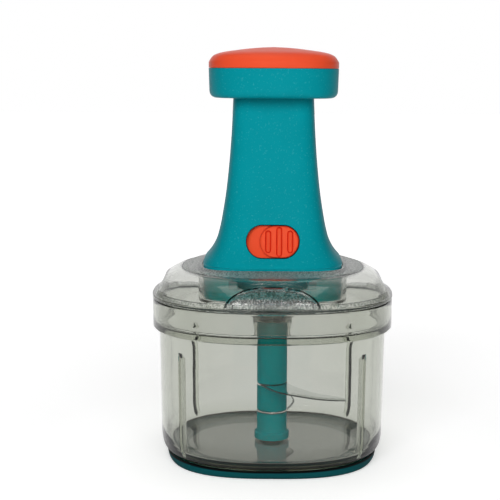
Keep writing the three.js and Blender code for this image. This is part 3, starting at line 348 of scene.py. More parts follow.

# Foot ring: a soft non-slip hoop in dark teal TPE that the bowl's rounded
# foot stands in, glued at its seat. Its lip is painted near black from 3.6 mm
# up: painted shade, where the bowl's foot shades it.
foot_half = 58.9
foot_inner = 48
foot_top = 5.1
foot_seat = 2.9
lip_shade_from = 3.6
lip_shade_full = 4.1
tpe, tree = blank("tpe_rubber_matt")
spot = add_node(tree, "TexCoord")
grain = add_node(tree, "TexNoise", {"Vector": spot.outputs["Object"], "Scale": 1600, "Detail": 2})
skin_bump = add_node(tree, "Bump", {
    "Height": grain.outputs[0], "Strength": 0.4, "Distance": 0.05 * mm,
})
up = add_node(tree, "SeparateXYZ", {0: spot.outputs["Object"]})
# Painted shade: near black over the lip, from 3.6 mm to 4.1 mm up.
lip_shade = add_node(tree, "MapRange", {
    "Value": up.outputs["Z"], "From Min": lip_shade_from * mm, "From Max": lip_shade_full * mm,
})
shade = add_node(tree, "Mix", {
    0: lip_shade.outputs[0], 6: linear("#045055"), 7: linear("#030607"),
}, data_type="RGBA")
shader = add_node(tree, "BsdfPrincipled", {
    "Base Color": shade.outputs[2], "Roughness": 0.62, "IOR": 1.5,
    "Specular IOR Level": 0.15, "Normal": skin_bump.outputs[0],
})
add_node(tree, "OutputMaterial", {"Surface": shader.outputs[0]})
foot_profile = rounded([
    [foot_inner, 0, bowl_power], [56.4, 0, 2.75], [58, 1.6, 2.6],
    [foot_half, foot_top, bowl_power], [58.4, foot_top, bowl_power],
    [58.5, 3.6, bowl_power], [55.2, foot_seat, bowl_power],
    [foot_inner, foot_seat, bowl_power],
], [0.3, 0.8, 1.0, 0.4, 0.2, 0.4, 0.6, 0.3])
plain_turns = np.linspace(0, 2 * math.pi, 320, endpoint=False)
foot_ring = make_piece("foot_hoop", [skin(around(foot_profile, plain_turns), True)], tpe)
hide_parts("foot_ring")
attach(foot_ring, "bowl")

# Bearing pin: 4 mm stainless rod with a rounded tip, moulded into the floor.
# Turned steel shows faint rings, about 0.5 mm apart, round its axis.
turned_steel, tree = blank("stainless_steel_turned")
spot = add_node(tree, "TexCoord")
rings = add_node(tree, "TexWave", {
    "Vector": spot.outputs["Object"], "Scale": 640, "Distortion": 0.6,
}, bands_direction="Z")
ring_bump = add_node(tree, "Bump", {
    "Height": rings.outputs[1], "Strength": 0.15, "Distance": 0.02 * mm,
})
shader = add_node(tree, "BsdfPrincipled", {
    "Base Color": linear("#c3c6c8"), "Metallic": 1.0, "Roughness": 0.24,
    "Normal": ring_bump.outputs[0],
})
add_node(tree, "OutputMaterial", {"Surface": shader.outputs[0]})


def refinish(names, material):
    """Gives CAD nodes that stay in view one material."""
    for name in names:
        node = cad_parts[name]
        node.data.materials.clear()
        node.data.materials.append(material)


refinish(["bowl_pin"], turned_steel)

# Blade stack: foot with a flange, spacer and long tube, moulded in teal ABS.
# They stack on one core with a steel blade between each two, and the thin
# joints show as lines.
tube_half = 8.5
flange_half = 9.8
core_half = 5.2
ring_bore = 5.5
lower_blade_foot = 22.5
upper_blade_foot = 38.1
# The handle's column is of the same plastic, and the lock's slot is in it.
slot_length = 28.2
slot_height = 16.8
lock_height = 122.9
# The mould is lightly spark-eroded: its fine grain, about 0.7 mm, breaks up
# the highlight. Flecks of paler teal are painted into the colour as glints:
# painted highlights where the grain would catch the light.
teal_abs, tree = blank("abs_moulded_satin")
spot = add_node(tree, "TexCoord")
cloud = add_node(tree, "TexNoise", {"Vector": spot.outputs["Object"], "Scale": 60, "Detail": 3})
shade = add_node(tree, "Mix", {
    0: cloud.outputs[0], 6: linear("#028f9a"), 7: linear("#0497a3"),
}, data_type="RGBA")
grain = add_node(tree, "TexNoise", {
    "Vector": spot.outputs["Object"], "Scale": 1400, "Detail": 3, "Roughness": 0.65,
})
sparks = add_node(tree, "TexNoise", {"Vector": spot.outputs["Object"], "Scale": 1000, "Detail": 2})
# Painted highlight: paler teal flecks, up to a quarter of the colour.
painted_glint = add_node(tree, "MapRange", {
    "Value": sparks.outputs[0], "From Min": 0.6, "From Max": 0.72, "To Min": 0,
    "To Max": 0.24,
})
shade = add_node(tree, "Mix", {
    0: painted_glint.outputs[0], 6: shade.outputs[2], 7: linear("#4fbcc4"),
}, data_type="RGBA")
# Painted shade: the shut line round the lock's slot is dark in the colour, in
# place of the shadow in the gap between the wall and the slide. It lies where
# the distance from the slot's middle line is under its half height and 0.35 mm.
slot_straight = (slot_length - slot_height) / 2
shut_line = slot_height / 2 + 0.35
apart = add_node(tree, "SeparateXYZ", {0: spot.outputs["Object"]})
side = add_node(tree, "Math", {0: apart.outputs["X"]}, operation="ABSOLUTE")
side = add_node(tree, "Math", {0: side.outputs[0], 1: slot_straight * mm}, operation="SUBTRACT")
side = add_node(tree, "Math", {0: side.outputs[0], 1: 0.0}, operation="MAXIMUM")
rise = add_node(tree, "Math", {0: apart.outputs["Z"], 1: lock_height * mm}, operation="SUBTRACT")
reach = add_node(tree, "CombineXYZ", {0: side.outputs[0], 1: rise.outputs[0]})
reach = add_node(tree, "VectorMath", {0: reach.outputs[0]}, operation="LENGTH")
near = add_node(tree, "MapRange", {
    "Value": reach.outputs["Value"], "From Min": (shut_line - 0.1) * mm,
    "From Max": (shut_line + 0.1) * mm, "To Min": 1, "To Max": 0,
})
front = add_node(tree, "Math", {0: apart.outputs["Y"], 1: -0.02}, operation="LESS_THAN")
shut_shade = add_node(tree, "Math", {0: near.outputs[0], 1: front.outputs[0]}, operation="MULTIPLY")
shade = add_node(tree, "Mix", {
    0: shut_shade.outputs[0], 6: shade.outputs[2], 7: linear("#07262b"),
}, data_type="RGBA")
fleck = add_node(tree, "MapRange", {
    "Value": grain.outputs[0], "From Min": 0.3, "From Max": 0.7, "To Min": 0.36,
    "To Max": 0.5,
})
grain_bump = add_node(tree, "Bump", {
    "Height": grain.outputs[0], "Strength": 0.55, "Distance": 0.06 * mm,
})
shader = add_node(tree, "BsdfPrincipled", {
    "Base Color": shade.outputs[2], "Roughness": fleck.outputs[0], "IOR": 1.52,
    "Specular IOR Level": 0.05,
    "Normal": grain_bump.outputs[0],
})
add_node(tree, "OutputMaterial", {"Surface": shader.outputs[0]})


def lathe_piece(name, node, body, profile, radii, material):
    """A round piece from a profile of radii and heights, set in place of its
    CAD node."""
    profile = np.array([[radius, height, 2] for radius, height in profile], float)
    turned = skin(around(rounded(profile, radii), plain_turns[::2]), True)
    piece = make_piece(name, [turned], material)
    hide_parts(node)
    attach(piece, body)


lathe_piece("blade_foot_body", "blade_foot", "blades", [
    [2.3, 7.1], [flange_half, 7.1], [flange_half, 11.1], [tube_half, 11.5],
    [tube_half, 22.2], [core_half, 22.2], [core_half, 45.5], [2.3, 45.5],
], [0.2, 0.6, 0.7, 0.3, 0.4, 0.2, 0.8, 0.2], teal_abs)
lathe_piece("spacer_sleeve", "blade_spacer", "blades", [
    [ring_bore, 23.8], [tube_half, 23.8], [tube_half, 37.8], [ring_bore, 37.8],
], [0.2, 0.4, 0.4, 0.2], teal_abs)
lathe_piece("blade_tube_body", "blade_tube", "blades", [
    [6.1, 39.4], [tube_half, 39.4], [tube_half, 75.1], [6.1, 75.1],
], [0.2, 0.4, 0.8, 0.4], teal_abs)

# Blades: 1 mm stainless sheet, stamped with a curved outline, ground thin on
# the bulging edge and brushed along their length: the lines are 0.3 mm apart.
blade_reach = 56
blade_rows = 90
blade_columns = 32
brush_length = 30
blade_steel, tree = blank("stainless_sheet_brushed")
along = add_node(tree, "Attribute", attribute_name="brushing")
lines = add_node(tree, "TexNoise", {"Vector": along.outputs["Vector"], "Scale": 3.3, "Detail": 3})
line_rough = add_node(tree, "MapRange", {
    "Value": lines.outputs[0], "From Min": 0.3, "From Max": 0.7, "To Min": 0.08,
    "To Max": 0.2,
})
line_bump = add_node(tree, "Bump", {
    "Height": lines.outputs[0], "Strength": 0.2, "Distance": 0.02 * mm,
})
ground = add_node(tree, "Attribute", attribute_name="ground")
steel_tone = add_node(tree, "Mix", {
    0: ground.outputs["Fac"], 6: linear("#e3e5e5"), 7: linear("#4b4f50"),
}, data_type="RGBA")
shader = add_node(tree, "BsdfPrincipled", {
    "Base Color": steel_tone.outputs[2], "Metallic": 1.0,
    "Roughness": line_rough.outputs[0], "Normal": line_bump.outputs[0],
})
add_node(tree, "OutputMaterial", {"Surface": shader.outputs[0]})
cutting_edge = np.array([
    [-0.02, -0.152], [0.17, -0.215], [0.33, -0.247], [0.45, -0.243], [0.58, -0.22],
    [0.78, -0.166], [0.91, -0.094], [1, -0.009],
]) * blade_reach
blade_back = np.array([
    [0.08, 0.13], [0.2, 0.052], [0.36, 0.014], [0.62, -0.02], [0.93, 0.027],
    [0.985, 0.016], [1, -0.009],
]) * blade_reach


def blade_skin(bottom, turn):
    """Blade plate: its point at share s of the length and share v of the width
    is edge(s) + v (back(s) - edge(s)), and its half thickness grows from a
    quarter to a half of a millimetre over the first 4 mm from the edge. The
    plate is turned about the axis by turn degrees. The hub is a flat ring of
    the same sheet."""
    edge, back = through(cutting_edge, blade_rows), through(blade_back, blade_rows)
    width = np.hypot(*(back - edge).T)[:, None]
    share = np.concatenate([np.linspace(0, 0.34, 9), np.linspace(0.4, 1, 7)])
    flat = edge[:, None] + share[:, None] * (back - edge)[:, None]
    thick = 0.25 + 0.25 * np.clip(share * width / 4, 0, 1)
    upper = np.concatenate([flat, (bottom + 0.5 + thick)[..., None]], -1)
    lower = np.concatenate([flat, (bottom + 0.5 - thick)[..., None]], -1)[:, ::-1]
    points = np.concatenate([upper, lower], axis=1)
    c, s = math.cos(math.radians(turn)), math.sin(math.radians(turn))
    points = points @ np.array([[c, s, 0], [-s, c, 0], [0, 0, 1]])
    hub = rounded([
        [ring_bore, bottom, 2], [tube_half, bottom, 2],
        [tube_half, bottom + 1, 2], [ring_bore, bottom + 1, 2],
    ], [0.1] * 4, 3)
    return [skin(points, False), skin(around(hub, plain_turns[::4]), True)]


for name, node, bottom, turn in (
    ("lower_blade_plate", "lower_blade", lower_blade_foot, 92),
    ("upper_blade_plate", "upper_blade", upper_blade_foot, -45),
):
    blade = make_piece(name, blade_skin(bottom, turn), blade_steel)
    place = np.empty(len(blade.data.vertices) * 3)
    blade.data.vertices.foreach_get("co", place)
    x, y, z = (place.reshape(-1, 3) / mm).T
    c, s = math.cos(math.radians(turn)), math.sin(math.radians(turn))
    # The brushing runs along the plate, drawn 30 times longer than wide.
    brushing = np.stack([(x * c + y * s) / brush_length, y * c - x * s, z * 0], -1)
    kept = blade.data.attributes.new("brushing", "FLOAT_VECTOR", "POINT")
    kept.data.foreach_set("vector", brushing.ravel())
    ground = np.zeros(len(x))
    plate = np.arange(blade_rows * blade_columns).reshape(blade_rows, blade_columns)
    ground[plate[:, [0, 1, -2, -1]]] = 1
    blade.data.attributes.new("ground", "FLOAT", "POINT").data.foreach_set("value", ground)
    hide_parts(node)
    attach(blade, "blades")

# Lid: smoky clear SAN like the bowl, with the handle's well, the nose that
# guides the coupler, and four grips for the fingers pressed into its shoulder.
# Its top ring, its inner ledge and the grips are matt.
lid_top = 105.9
lid_wall = 2.2
brim_half = 66.6
brim_foot = 90.3
plug_half = 63.6
plug_inner = 61.8
plug_foot = 78.3
well_power = 4.6
well_half = 39.0
well_outer = 40.5
well_floor = 91.9
ring_top = 108.3
ledge_top = 91.5
stop_top = 94.5
stop_middle = 27
stop_half = 6.25
bore_half = 7.4
bore_foot = 75.7
nose_half = 8.9
nose_foot = 67.7
grip_step = 0.4
lid_tint = 70.0
arc = np.linspace(0, 1, 31)[:, None] * math.pi / 2


def shoulder(half, foot, top_half, top):
    """Profile rows of a full shoulder: the width goes with cos^1.33 and the
    height with sin^1.33 of a quarter turn."""
    return np.concatenate([
        top_half + (half - top_half) * np.cos(arc) ** 1.33,
        foot + (top - foot) * np.sin(arc) ** 1.33,
        arc * 0 + bowl_power,
    ], axis=1)


lid_upper = rounded([
    [bore_half, bore_foot, 2], [bore_half, 77.2, 2], [12, 77.2, 2], [12, well_floor, 2],
    [well_half, well_floor, well_power], [well_half, ring_top, well_power],
], [0.2, 0.2, 0.5, 0.4, 0.8, 0.5], steps=4)
outer_shoulder = shoulder(66.1, shoulder_foot, 49.8, lid_top)[::-1]
lid_brim = rounded([
    [66.1, shoulder_foot, bowl_power], [brim_half, 91.9, bowl_power],
    [brim_half, brim_foot, bowl_power], [plug_half, brim_foot, bowl_power],
    [plug_half, plug_foot, bowl_power], [plug_inner, plug_foot, bowl_power],
    [plug_inner, ledge_top, bowl_power],
], [0, 0.5, 0.5, 0.4, 0.4, 0.4, 0], steps=4)[1:]
inner_shoulder = shoulder(64.6, ledge_top, 48.8, 103.9)
lid_under = rounded([
    [48.8, 103.9, bowl_power], [well_outer, 106.3, well_power],
    [well_outer, 90.3, well_power], [13.5, 90.3, 2], [13.5, bore_foot, 2],
    [11.4, bore_foot, 2], [10, nose_foot, 2], [nose_half, nose_foot, 2],
    [nose_half, bore_foot, 2], [bore_half, bore_foot, 2],
], [0, 0.8, 1.6, 0.6, 0.4, 0.4, 0.3, 0.2, 0.3, 0], steps=4)[1:-1]
groups = [lid_upper, outer_shoulder, lid_brim, inner_shoulder, lid_under]
kind = np.concatenate([np.full(len(rows), k) for k, rows in enumerate(groups)])
lid_profile = np.concatenate(groups)
stretched = dense(np.column_stack([lid_profile, kind]), 2.6, True)
lid_profile, kind = stretched[:, :3], stretched[:, 3]
lid_turns = np.linspace(0, 2 * math.pi, 500, endpoint=False) + 0.003
points = around(lid_profile, lid_turns)
# A finger grip takes off what lies beyond its border, and outside 0.3 mm more,
# so that it shows a step. The inner wall follows, a wall's thickness behind.
outside = (kind >= 0.5) & (kind <= 1.5)
inside = (kind >= 2.5) & (kind < 3.2)
height = lid_profile[:, 1, None]
climb = height - shoulder_foot
limit = grip_half - grip_slope * climb - grip_curve * climb ** 2 - lid_wall * inside[:, None]
pressed = np.zeros(points.shape[:2])
for axis in (0, 1):
    across = points[..., axis]
    beyond = (np.abs(across) - limit) * (outside | inside)[:, None]
    eased = np.where(beyond > 0, np.sqrt(np.maximum(beyond, 0) ** 2 + 0.01) - 0.1, 0)
    eased += grip_step * np.clip(beyond / 0.12, 0, 1) * outside[:, None]
    points[..., axis] = np.sign(across) * (np.abs(across) - np.clip(eased, 0, None))
    # Eight stops stand on the inner ledge, two beside each grip: there the
    # wall is filled up level with the skirt's inner face.
    along = np.abs(points[..., 1 - axis])
    face = (plug_inner ** bowl_power - np.clip(along, 0, 61) ** bowl_power) ** (1 / bowl_power)
    stop = (np.abs(along - stop_middle) < stop_half) & (np.abs(across) > face)
    stop &= inside[:, None] & (height < stop_top)
    points[..., axis] = np.where(stop, np.sign(across) * face, points[..., axis])
    pressed = np.maximum(pressed, np.clip(beyond / 0.3, 0, 1) * outside[:, None])
# The matt of the top sets in over 1.6 mm outside, and 3.5 mm down the well.
half = lid_profile[:, 0, None]
top_ring = np.where(
    half > well_half + 0.4,
    np.clip((51.4 - half) / 1.6, 0, 1),
    np.clip((height - 104.5) / 3.5, 0, 1),
)
matt_rows = ((kind < 2) & (lid_profile[:, 1] > 100))[:, None]
ledge = (kind > 1.5) & (kind < 3.2) & (lid_profile[:, 0] < 65)
ledge &= np.abs(lid_profile[:, 1] - shoulder_foot) < 1.6
frost = np.maximum(np.maximum(pressed * grip_frost, ledge[:, None]), top_ring * matt_rows)
lid_san = smoky_plastic("smoky_san_lid", lid_tint)
lid = make_piece("lid_body", [skin(points, True)], lid_san)
lid.data.attributes.new("frost", "FLOAT", "POINT").data.foreach_set("value", frost.ravel())
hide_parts("lid")
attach(lid, "lid")

# Drive under the handle: a dark teal ABS cover with a bearing nose, screwed
# to the column, and on it the coupler, the nut and their housing in white
# acetal. The plastic is the teal one with more pigment.
dark_abs, tree = blank("abs_moulded_dark")
spot = add_node(tree, "TexCoord")
grain = add_node(tree, "TexNoise", {"Vector": spot.outputs["Object"], "Scale": 1400, "Detail": 3})
fleck = add_node(tree, "MapRange", {
    "Value": grain.outputs[0], "From Min": 0.3, "From Max": 0.7, "To Min": 0.4,
    "To Max": 0.55,
})
grain_bump = add_node(tree, "Bump", {
    "Height": grain.outputs[0], "Strength": 0.5, "Distance": 0.06 * mm,
})
shader = add_node(tree, "BsdfPrincipled", {
    "Base Color": linear("#00666e"), "Roughness": fleck.outputs[0], "IOR": 1.52,
    "Normal": grain_bump.outputs[0],
})
add_node(tree, "OutputMaterial", {"Surface": shader.outputs[0]})
# Acetal is a slippery white bearing plastic, slightly waxy and translucent,
# with a smooth moulded skin that clouds over a few millimetres.
acetal, tree = blank("acetal_moulded")
spot = add_node(tree, "TexCoord")
haze = add_node(tree, "TexNoise", {"Vector": spot.outputs["Object"], "Scale": 300, "Detail": 2})
sheen = add_node(tree, "MapRange", {
    "Value": haze.outputs[0], "From Min": 0.3, "From Max": 0.7, "To Min": 0.3,
    "To Max": 0.42,
})
haze_bump = add_node(tree, "Bump", {
    "Height": haze.outputs[0], "Strength": 0.15, "Distance": 0.05 * mm,
})
shader = add_node(tree, "BsdfPrincipled", {
    "Base Color": linear("#e6e4dc"), "Roughness": sheen.outputs[0], "IOR": 1.48,
    "Subsurface Weight": 0.15, "Subsurface Scale": 2 * mm, "Normal": haze_bump.outputs[0],
})
add_node(tree, "OutputMaterial", {"Surface": shader.outputs[0]})
refinish(["bottom_cover", "lock_retainer"], dark_abs)
refinish(["output_bush", "output_coupler", "twist_nut", "clutch_housing", "plunger"], acetal)
# Plated wire and screws keep the turned steel of the pin.
steel_nodes = [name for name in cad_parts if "screw" in name]
refinish(steel_nodes + ["twisted_rod", "return_spring"], turned_steel)

# Handle column: one teal ABS moulding. A flared soft-square horn stands on the
# lid by its lip, a skirt with two windows drops into the well, and the top
# guides the plunger. The slot in the front is for the lock.
column_wall = 2.4
column_foot = 110.1
column_rise = 89.9
column_top = 200
neck_half = 21.9
neck_power = 4.6
neck_roof = 197.6
flare = 16.5
guide_half = 15.3
guide_outer = 17.3
guide_foot = 178
skirt_half = 38
skirt_inner = 34.4
skirt_foot = 92.2
skirt_top = 109
skirt_power = 4.5
lip_power = 3.3
window_half = 23
window_height = 100.6
window_rise = 2.4
column_rows = [
    [neck_half + flare * width, column_foot + column_rise * rise, neck_power - 1.3 * width]
    for rise, width in (
        (0, 1), (0.016, 0.915), (0.0645, 0.712), (0.126, 0.552), (0.2, 0.439),
        (0.3, 0.335), (0.42, 0.235), (0.56, 0.15), (0.758, 0.064), (1, 0),
    )
]
column_face = through(column_rows, 70)
column_back = column_face[::-1] - np.array([column_wall, 0, 0])
column_back = column_back[(column_back[:, 1] < 197) & (column_back[:, 1] > 111.5)]
column_skirt = rounded([
    [skirt_inner, skirt_foot, lip_power], [skirt_half, skirt_foot, skirt_power],
    [skirt_half, skirt_top, skirt_power], [38.4, skirt_top, lip_power], column_face[1],
], [0.3, 0.4, 0.1, 0.5, 0])
column_neck = rounded([
    column_face[-2], [neck_half, column_top, neck_power],
    [guide_half, column_top, neck_power], [guide_half, guide_foot, neck_power],
    [guide_outer, guide_foot, neck_power], [guide_outer, neck_roof, neck_power],
    [19.5, neck_roof, neck_power], column_back[0],
], [0, 0.8, 0.3, 0.3, 0.3, 0.6, 0.8, 0])[1:]
column_profile = dense(np.concatenate([
    column_skirt, column_face[2:-1], column_neck, column_back[1:],
    [[skirt_inner, 107.9, lip_power]],
]), 2.2, True)
column = make_piece("column_shell", [skin(around(column_profile, plain_turns), True)], teal_abs)


def round_bar(length, height, count=56):
    """Outline of a round-ended bar: a circle's points, moved apart along the
    longer side by its straight part."""
    angle = np.linspace(0, 2 * math.pi, count, endpoint=False) + math.pi / count
    radius = min(length, height) / 2
    x, z = radius * np.cos(angle), radius * np.sin(angle)
    x = x + np.sign(x) * max(0, length - height) / 2
    return x, z + np.sign(z) * max(0, height - length) / 2


def straight_bar(x, z, front, back):
    """Skin of a bar with the outline x, z that runs straight back from
    y = front to y = back."""
    return skin(np.stack([np.column_stack([x, x * 0 + y, z]) for y in (front, back)]), False)


def hollow_out(piece, tools):
    """Cuts the skins in tools out of a piece for good, one after the other,
    and marks its sharp edges again."""
    cutters = [make_piece("cutter", [tool], piece.data.materials[0]) for tool in tools]
    for cutter in cutters:
        change = piece.modifiers.new("cut", "BOOLEAN")
        change.object, change.operation, change.solver = cutter, "DIFFERENCE", "EXACT"
    graph = bpy.context.evaluated_depsgraph_get()
    mesh = bpy.data.meshes.new_from_object(piece.evaluated_get(graph))
    piece.modifiers.clear()
    piece.data = mesh
    mesh.shade_smooth()
    mesh.set_sharp_from_angle(angle=sharp_turn)
    for cutter in cutters:
        bpy.data.objects.remove(cutter)


def front_bar(length, height, middle, rows, land=None, travel=(0,)):
    """Round-ended bar on the column's front. A row [inset, depth] is the
    outline drawn in by inset, and lies depth behind the column's face at each
    point's height. Where land is given, no point comes nearer to the column's
    outside than that, at any of its places along the travel."""
    points = []
    for inset, depth, *_ in rows:
        x, z = round_bar(length - 2 * inset, height - 2 * inset)
        x, z = x + middle, z + lock_height
        face = np.interp(z, column_face[:, 1], column_face[:, 0])
        y = face - depth
        if land is not None:
            power = np.interp(z, column_face[:, 1], column_face[:, 2])
            for step in travel:
                room = (face - land) ** power - np.abs(x - step) ** power
                y = np.minimum(y, room ** (1 / power))
        points.append(np.column_stack([x, -y, z]))
    return skin(np.array(points), False)


slot_x, slot_z = round_bar(slot_length, slot_height)
square = np.array([-1, 1, 1, -1]), np.array([-1, -1, 1, 1])
window = square[0] * window_half, window_height + square[1] * window_rise
track_land = 1.3
hollow_out(column, [
    straight_bar(slot_x, slot_z + lock_height, -60, -15),
    front_bar(41.2, 21, -1.9, [[0, track_land], [0, 5]], track_land),
    straight_bar(*window, -60, -33),
    straight_bar(*window, 33, 60),
])
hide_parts("handle_column")
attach(column, "handle")

# Lock slide: orange ABS. A plate behind the wall carries the oval thumb grip,
# which fills the slot's right end and has three long ribs, and a bolt that
# reaches the plunger. The tool is smoother than the column's.
lock_travel = 7
thumb_middle = 3.4
rib_gap = 5.85
bolt_middle = 4
bolt_face = 27.2
bolt_back = -13.5
orange_abs, tree = blank("abs_moulded_orange")
spot = add_node(tree, "TexCoord")
cloud = add_node(tree, "TexNoise", {"Vector": spot.outputs["Object"], "Scale": 70, "Detail": 2})
shade = add_node(tree, "Mix", {
    0: cloud.outputs[0], 6: linear("#ef4e2d"), 7: linear("#f45936"),
}, data_type="RGBA")
# Painted shade: a deeper red on the flanks of the ribs and round the grip.
flank_shade = add_node(tree, "Attribute", attribute_name="flank_shade")
shade = add_node(tree, "Mix", {
    0: flank_shade.outputs["Fac"], 6: shade.outputs[2], 7: linear("#d41600"),
}, data_type="RGBA")
grain = add_node(tree, "TexNoise", {"Vector": spot.outputs["Object"], "Scale": 1500, "Detail": 2})
grain_bump = add_node(tree, "Bump", {
    "Height": grain.outputs[0], "Strength": 0.35, "Distance": 0.05 * mm,
})
shader = add_node(tree, "BsdfPrincipled", {
    "Base Color": shade.outputs[2], "Roughness": 0.36, "IOR": 1.52, "Specular IOR Level": 0.12,
    "Normal": grain_bump.outputs[0],
})
add_node(tree, "OutputMaterial", {"Surface": shader.outputs[0]})
# Rows of inset and depth, as front_bar reads them. The third value says how
# much of the deeper red that row shows: painted shade on the steep flanks and
# sharp corners of the ribs and the grip.
plate = [
    [4, 1.6, 0], [0.4, 1.6, 0], [0, 1.9, 0], [0, 3.8, 0], [0.4, 4.2, 0], [4, 4.2, 0],
]
thumb = [
    [3, -0.5, 0], [1.4, -0.5, 0], [0.5, -0.42, 0.1], [0.12, -0.15, 0.6],
    [0, 0.3, 1], [0, 4.5, 1],
]
rib = [
    [1.15, -1.2, 0.1], [0.95, -1.19, 0.2], [0.55, -1.08, 0.75], [0.15, -0.8, 1],
    [0, -0.4, 1], [0, 0.2, 1],
]
bars = [
    (33.6, 20.4, 1.6, plate, 1.6, (0, lock_travel)), (20.8, 16.2, thumb_middle, thumb),
    (3.3, 11.8, thumb_middle - rib_gap, rib), (3.3, 15.4, thumb_middle, rib),
    (3.3, 11.8, thumb_middle + rib_gap, rib),
]
bolt = straight_bar(
    bolt_middle + square[0] * 2, lock_height + square[1] * 1.3, -bolt_face, bolt_back,
)
skins = [front_bar(*bar) for bar in bars]
lock = make_piece("lock_thumb_slide", skins + [bolt], orange_abs)
flank_shades = []
for bar, made in zip(bars, skins):
    tones = [row[2] for row in bar[3]]
    tones = np.repeat(tones, (len(made[0]) - 2) // len(tones))
    flank_shades.append(np.append(tones, [tones[0], tones[-1]]))
flank_shades = np.concatenate(flank_shades + [np.zeros(len(bolt[0]))])
lock.data.attributes.new("flank_shade", "FLOAT", "POINT").data.foreach_set("value", flank_shades)
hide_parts("lock_slide")
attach(lock, "lock")

# Knob: a teal ABS shell, screwed to the plunger through its web, and the domed
# orange cap that snaps into it. The palm presses here.
knob_power = 2.7
knob_half = 35.5
knob_inner = 33.3
knob_foot = 198.6
knob_top = 214.4
web_top = 202.8
web_foot = 200.4
cap_foot = 217.7
cap_rise = 8.3
cap_lip = 214.5
snap_foot = 211.5
cap_wall = 2.2
knob_under = rounded([
    [22.8, knob_foot, neck_power], [35, knob_foot, knob_power],
    [knob_half, knob_top, knob_power], [knob_inner, knob_top, knob_power],
    [knob_inner, web_top, knob_power], [5, web_top, 2], [5, web_foot, 2],
    [22.8, web_foot, neck_power],
], [0.3, 4.2, 0.4, 0.3, 0.8, 0.3, 0.3, 0.3], steps=9)
knob_under = dense(knob_under, 2, True)
knob = make_piece("knob_housing", [skin(around(knob_under, plain_turns), True)], teal_abs)
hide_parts("knob_shell")
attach(knob, "knob")
cap_rows = [[knob_half * width, cap_foot + cap_rise * rise, knob_power] for width, rise in (
    (1, 0), (0.98, 0.157), (0.96, 0.289), (0.93, 0.42), (0.873, 0.54), (0.75, 0.675),
    (0.6, 0.77), (0.434, 0.867), (0.2, 0.96), (0.01, 1),
)]
cap_dome = through(cap_rows, 48)[::-1]
cap_hollow = through(np.array(cap_rows) * [0.88, 1, 1] - [0, cap_wall, 0], 30)
cap_snap = rounded([
    cap_dome[-1], [knob_half, cap_lip, knob_power], [33, cap_lip, knob_power],
    [33, snap_foot, knob_power], [31.3, snap_foot, knob_power], cap_hollow[0],
], [0, 0.4, 0.2, 0.3, 0.3, 0])[1:]
cap_profile = dense(np.concatenate([cap_dome, cap_snap, cap_hollow[1:]]), 2, False)
cap = make_piece("knob_dome", [skin(around(cap_profile, plain_turns), False)], orange_abs)
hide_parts("knob_cap")
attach(cap, "knob")

# Studio: a white table that runs into a white room, two soft boxes in front
# and one above. The camera sees both as white, mirror and glass rays see them
# dim in front and white behind, and the table takes the object's shadow.
table_reach = 6
table_height = -0.0002
table_white, tree = blank("studio_table")
ray = add_node(tree, "LightPath")
spot = add_node(tree, "TexCoord")
apart = add_node(tree, "SeparateXYZ", {0: spot.outputs["Object"]})
front = add_node(tree, "MapRange", {
    "Value": ray.outputs["Is Transmission Ray"], "To Min": 0.04, "To Max": 0.7,
})
behind = add_node(tree, "MapRange", {
    "Value": apart.outputs["Y"], "From Min": -0.2, "From Max": 0.05,
    "To Min": front.outputs[0], "To Max": 0.95,
})
reach = add_node(tree, "VectorMath", {0: spot.outputs["Object"]}, operation="LENGTH")
far = add_node(tree, "MapRange", {
    "Value": reach.outputs["Value"], "From Min": 0.15, "From Max": 1.1, "To Min": 0.5,
    "To Max": 1.0,
})
glow = add_node(tree, "Math", {
    0: ray.outputs["Is Camera Ray"], 1: far.outputs[0],
}, operation="MULTIPLY")
paper = add_node(tree, "BsdfPrincipled", {
    "Base Color": linear("#f0f0f0"), "Roughness": 0.7, "Specular IOR Level": 0.2,
    "Emission Color": (1, 1, 1, 1), "Emission Strength": glow.outputs[0],
})
# Painted shadow: mirror and glass rays see the table at 0.23 of its level within 56 mm of the
# middle, rising to full by 75 mm, where the bowl shades it.
painted_bowl_shadow = add_node(tree, "MapRange", {
    "Value": reach.outputs["Value"], "From Min": 0.056, "From Max": 0.075, "To Min": 0.23,
    "To Max": 1.0,
})
shaded = add_node(tree, "Math", {0: behind.outputs[0], 1: painted_bowl_shadow.outputs[0]}, operation="MULTIPLY")
mirrored = add_node(tree, "Emission", {"Strength": shaded.outputs[0]})
seen = add_node(tree, "Math", {
    0: ray.outputs["Is Glossy Ray"], 1: ray.outputs["Is Transmission Ray"],
}, operation="MAXIMUM")
shader = add_node(tree, "MixShader", {
    0: seen.outputs[0], 1: paper.outputs[0], 2: mirrored.outputs[0],
})
add_node(tree, "OutputMaterial", {"Surface": shader.outputs[0]})
mesh = bpy.data.meshes.new("table")
mesh.from_pydata([
    (x * table_reach, y * table_reach, table_height)
    for x, y in ((-1, -1), (1, -1), (1, 1), (-1, 1))
], [], [(0, 1, 2, 3)])
mesh.materials.append(table_white)
table = bpy.data.objects.new("table", mesh)
scene.collection.objects.link(table)

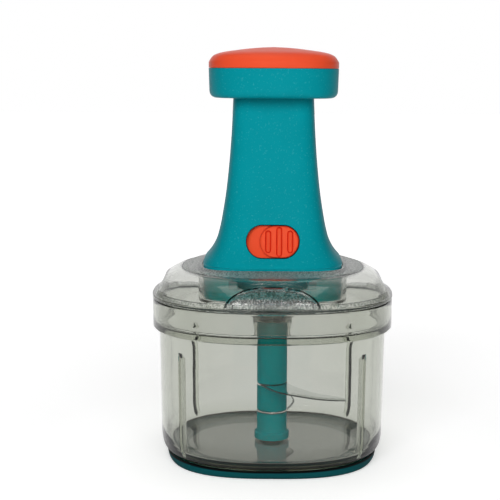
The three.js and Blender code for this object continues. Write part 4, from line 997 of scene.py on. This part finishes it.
# Room: white to the camera, a soft fill for the surfaces, and dark in front
# and bright behind for mirror and glass rays.
room_fill = 0.11
room = bpy.data.worlds.new("studio_room")
scene.world = room
room.use_nodes = True
tree = room.node_tree
tree.nodes.clear()
ray = add_node(tree, "LightPath")
way = add_node(tree, "TexCoord")
apart = add_node(tree, "SeparateXYZ", {0: way.outputs["Generated"]})
mirrored = add_node(tree, "MapRange", {
    "Value": apart.outputs["Y"], "From Min": 0.5, "From Max": 1.0, "To Min": 0.03,
    "To Max": 1.0,
})
beyond = add_node(tree, "MapRange", {
    "Value": apart.outputs["Y"], "From Min": 0.1, "From Max": 0.7, "To Min": 0.3,
    "To Max": 1.0,
})
lit = add_node(tree, "Mix", {
    0: ray.outputs["Is Glossy Ray"], 2: room_fill, 3: mirrored.outputs[0],
}, data_type="FLOAT")
lit = add_node(tree, "Mix", {
    0: ray.outputs["Is Transmission Ray"], 2: lit.outputs[0], 3: beyond.outputs[0],
}, data_type="FLOAT")
level = add_node(tree, "Mix", {
    0: ray.outputs["Is Camera Ray"], 2: lit.outputs[0], 3: 1.0,
}, data_type="FLOAT")
sky = add_node(tree, "Background", {"Color": (1, 1, 1, 1), "Strength": level.outputs[0]})
add_node(tree, "OutputWorld", {"Surface": sky.outputs[0]})


def soft_box(name, place, target, size, power):
    """Square area lamp at place, turned to face target."""
    lamp = bpy.data.lights.new(name, "AREA")
    lamp.size = size
    lamp.energy = power
    box = bpy.data.objects.new(name, lamp)
    box.location = place
    box.visible_glossy = False
    aim = np.array(target) - np.array(place)
    tilt = math.atan2(np.hypot(aim[0], aim[1]), -aim[2])
    box.rotation_euler = (tilt, 0, math.atan2(-aim[0], aim[1]))
    scene.collection.objects.link(box)


chopper_middle = (0, 0, 0.12)
soft_box("soft_box_left", (-0.35, -1.3, 0.8), chopper_middle, 0.7, 9.6)
soft_box("soft_box_right", (0.25, -1.3, 0.6), chopper_middle, 0.7, 5.6)
soft_box("soft_box_top", (0, 0.2, 1.3), chopper_middle, 0.8, 3.9)

# The photographer's camera: 0.7 m in front of the chopper, level with its
# knob and pitched down by 7.9 degrees.
camera_pitch = math.radians(90 - 7.937)
camera_roll = math.radians(-0.35)
lens = bpy.data.cameras.new("camera")
lens.lens = 91.15
lens.sensor_width = 36
lens.shift_x = -0.0477
lens.clip_start = 0.01
camera = bpy.data.objects.new("camera", lens)
camera.location = (0, -0.700, 0.2117)
camera.rotation_euler = (camera_pitch, camera_roll, 0)
scene.collection.objects.link(camera)
scene.camera = camera
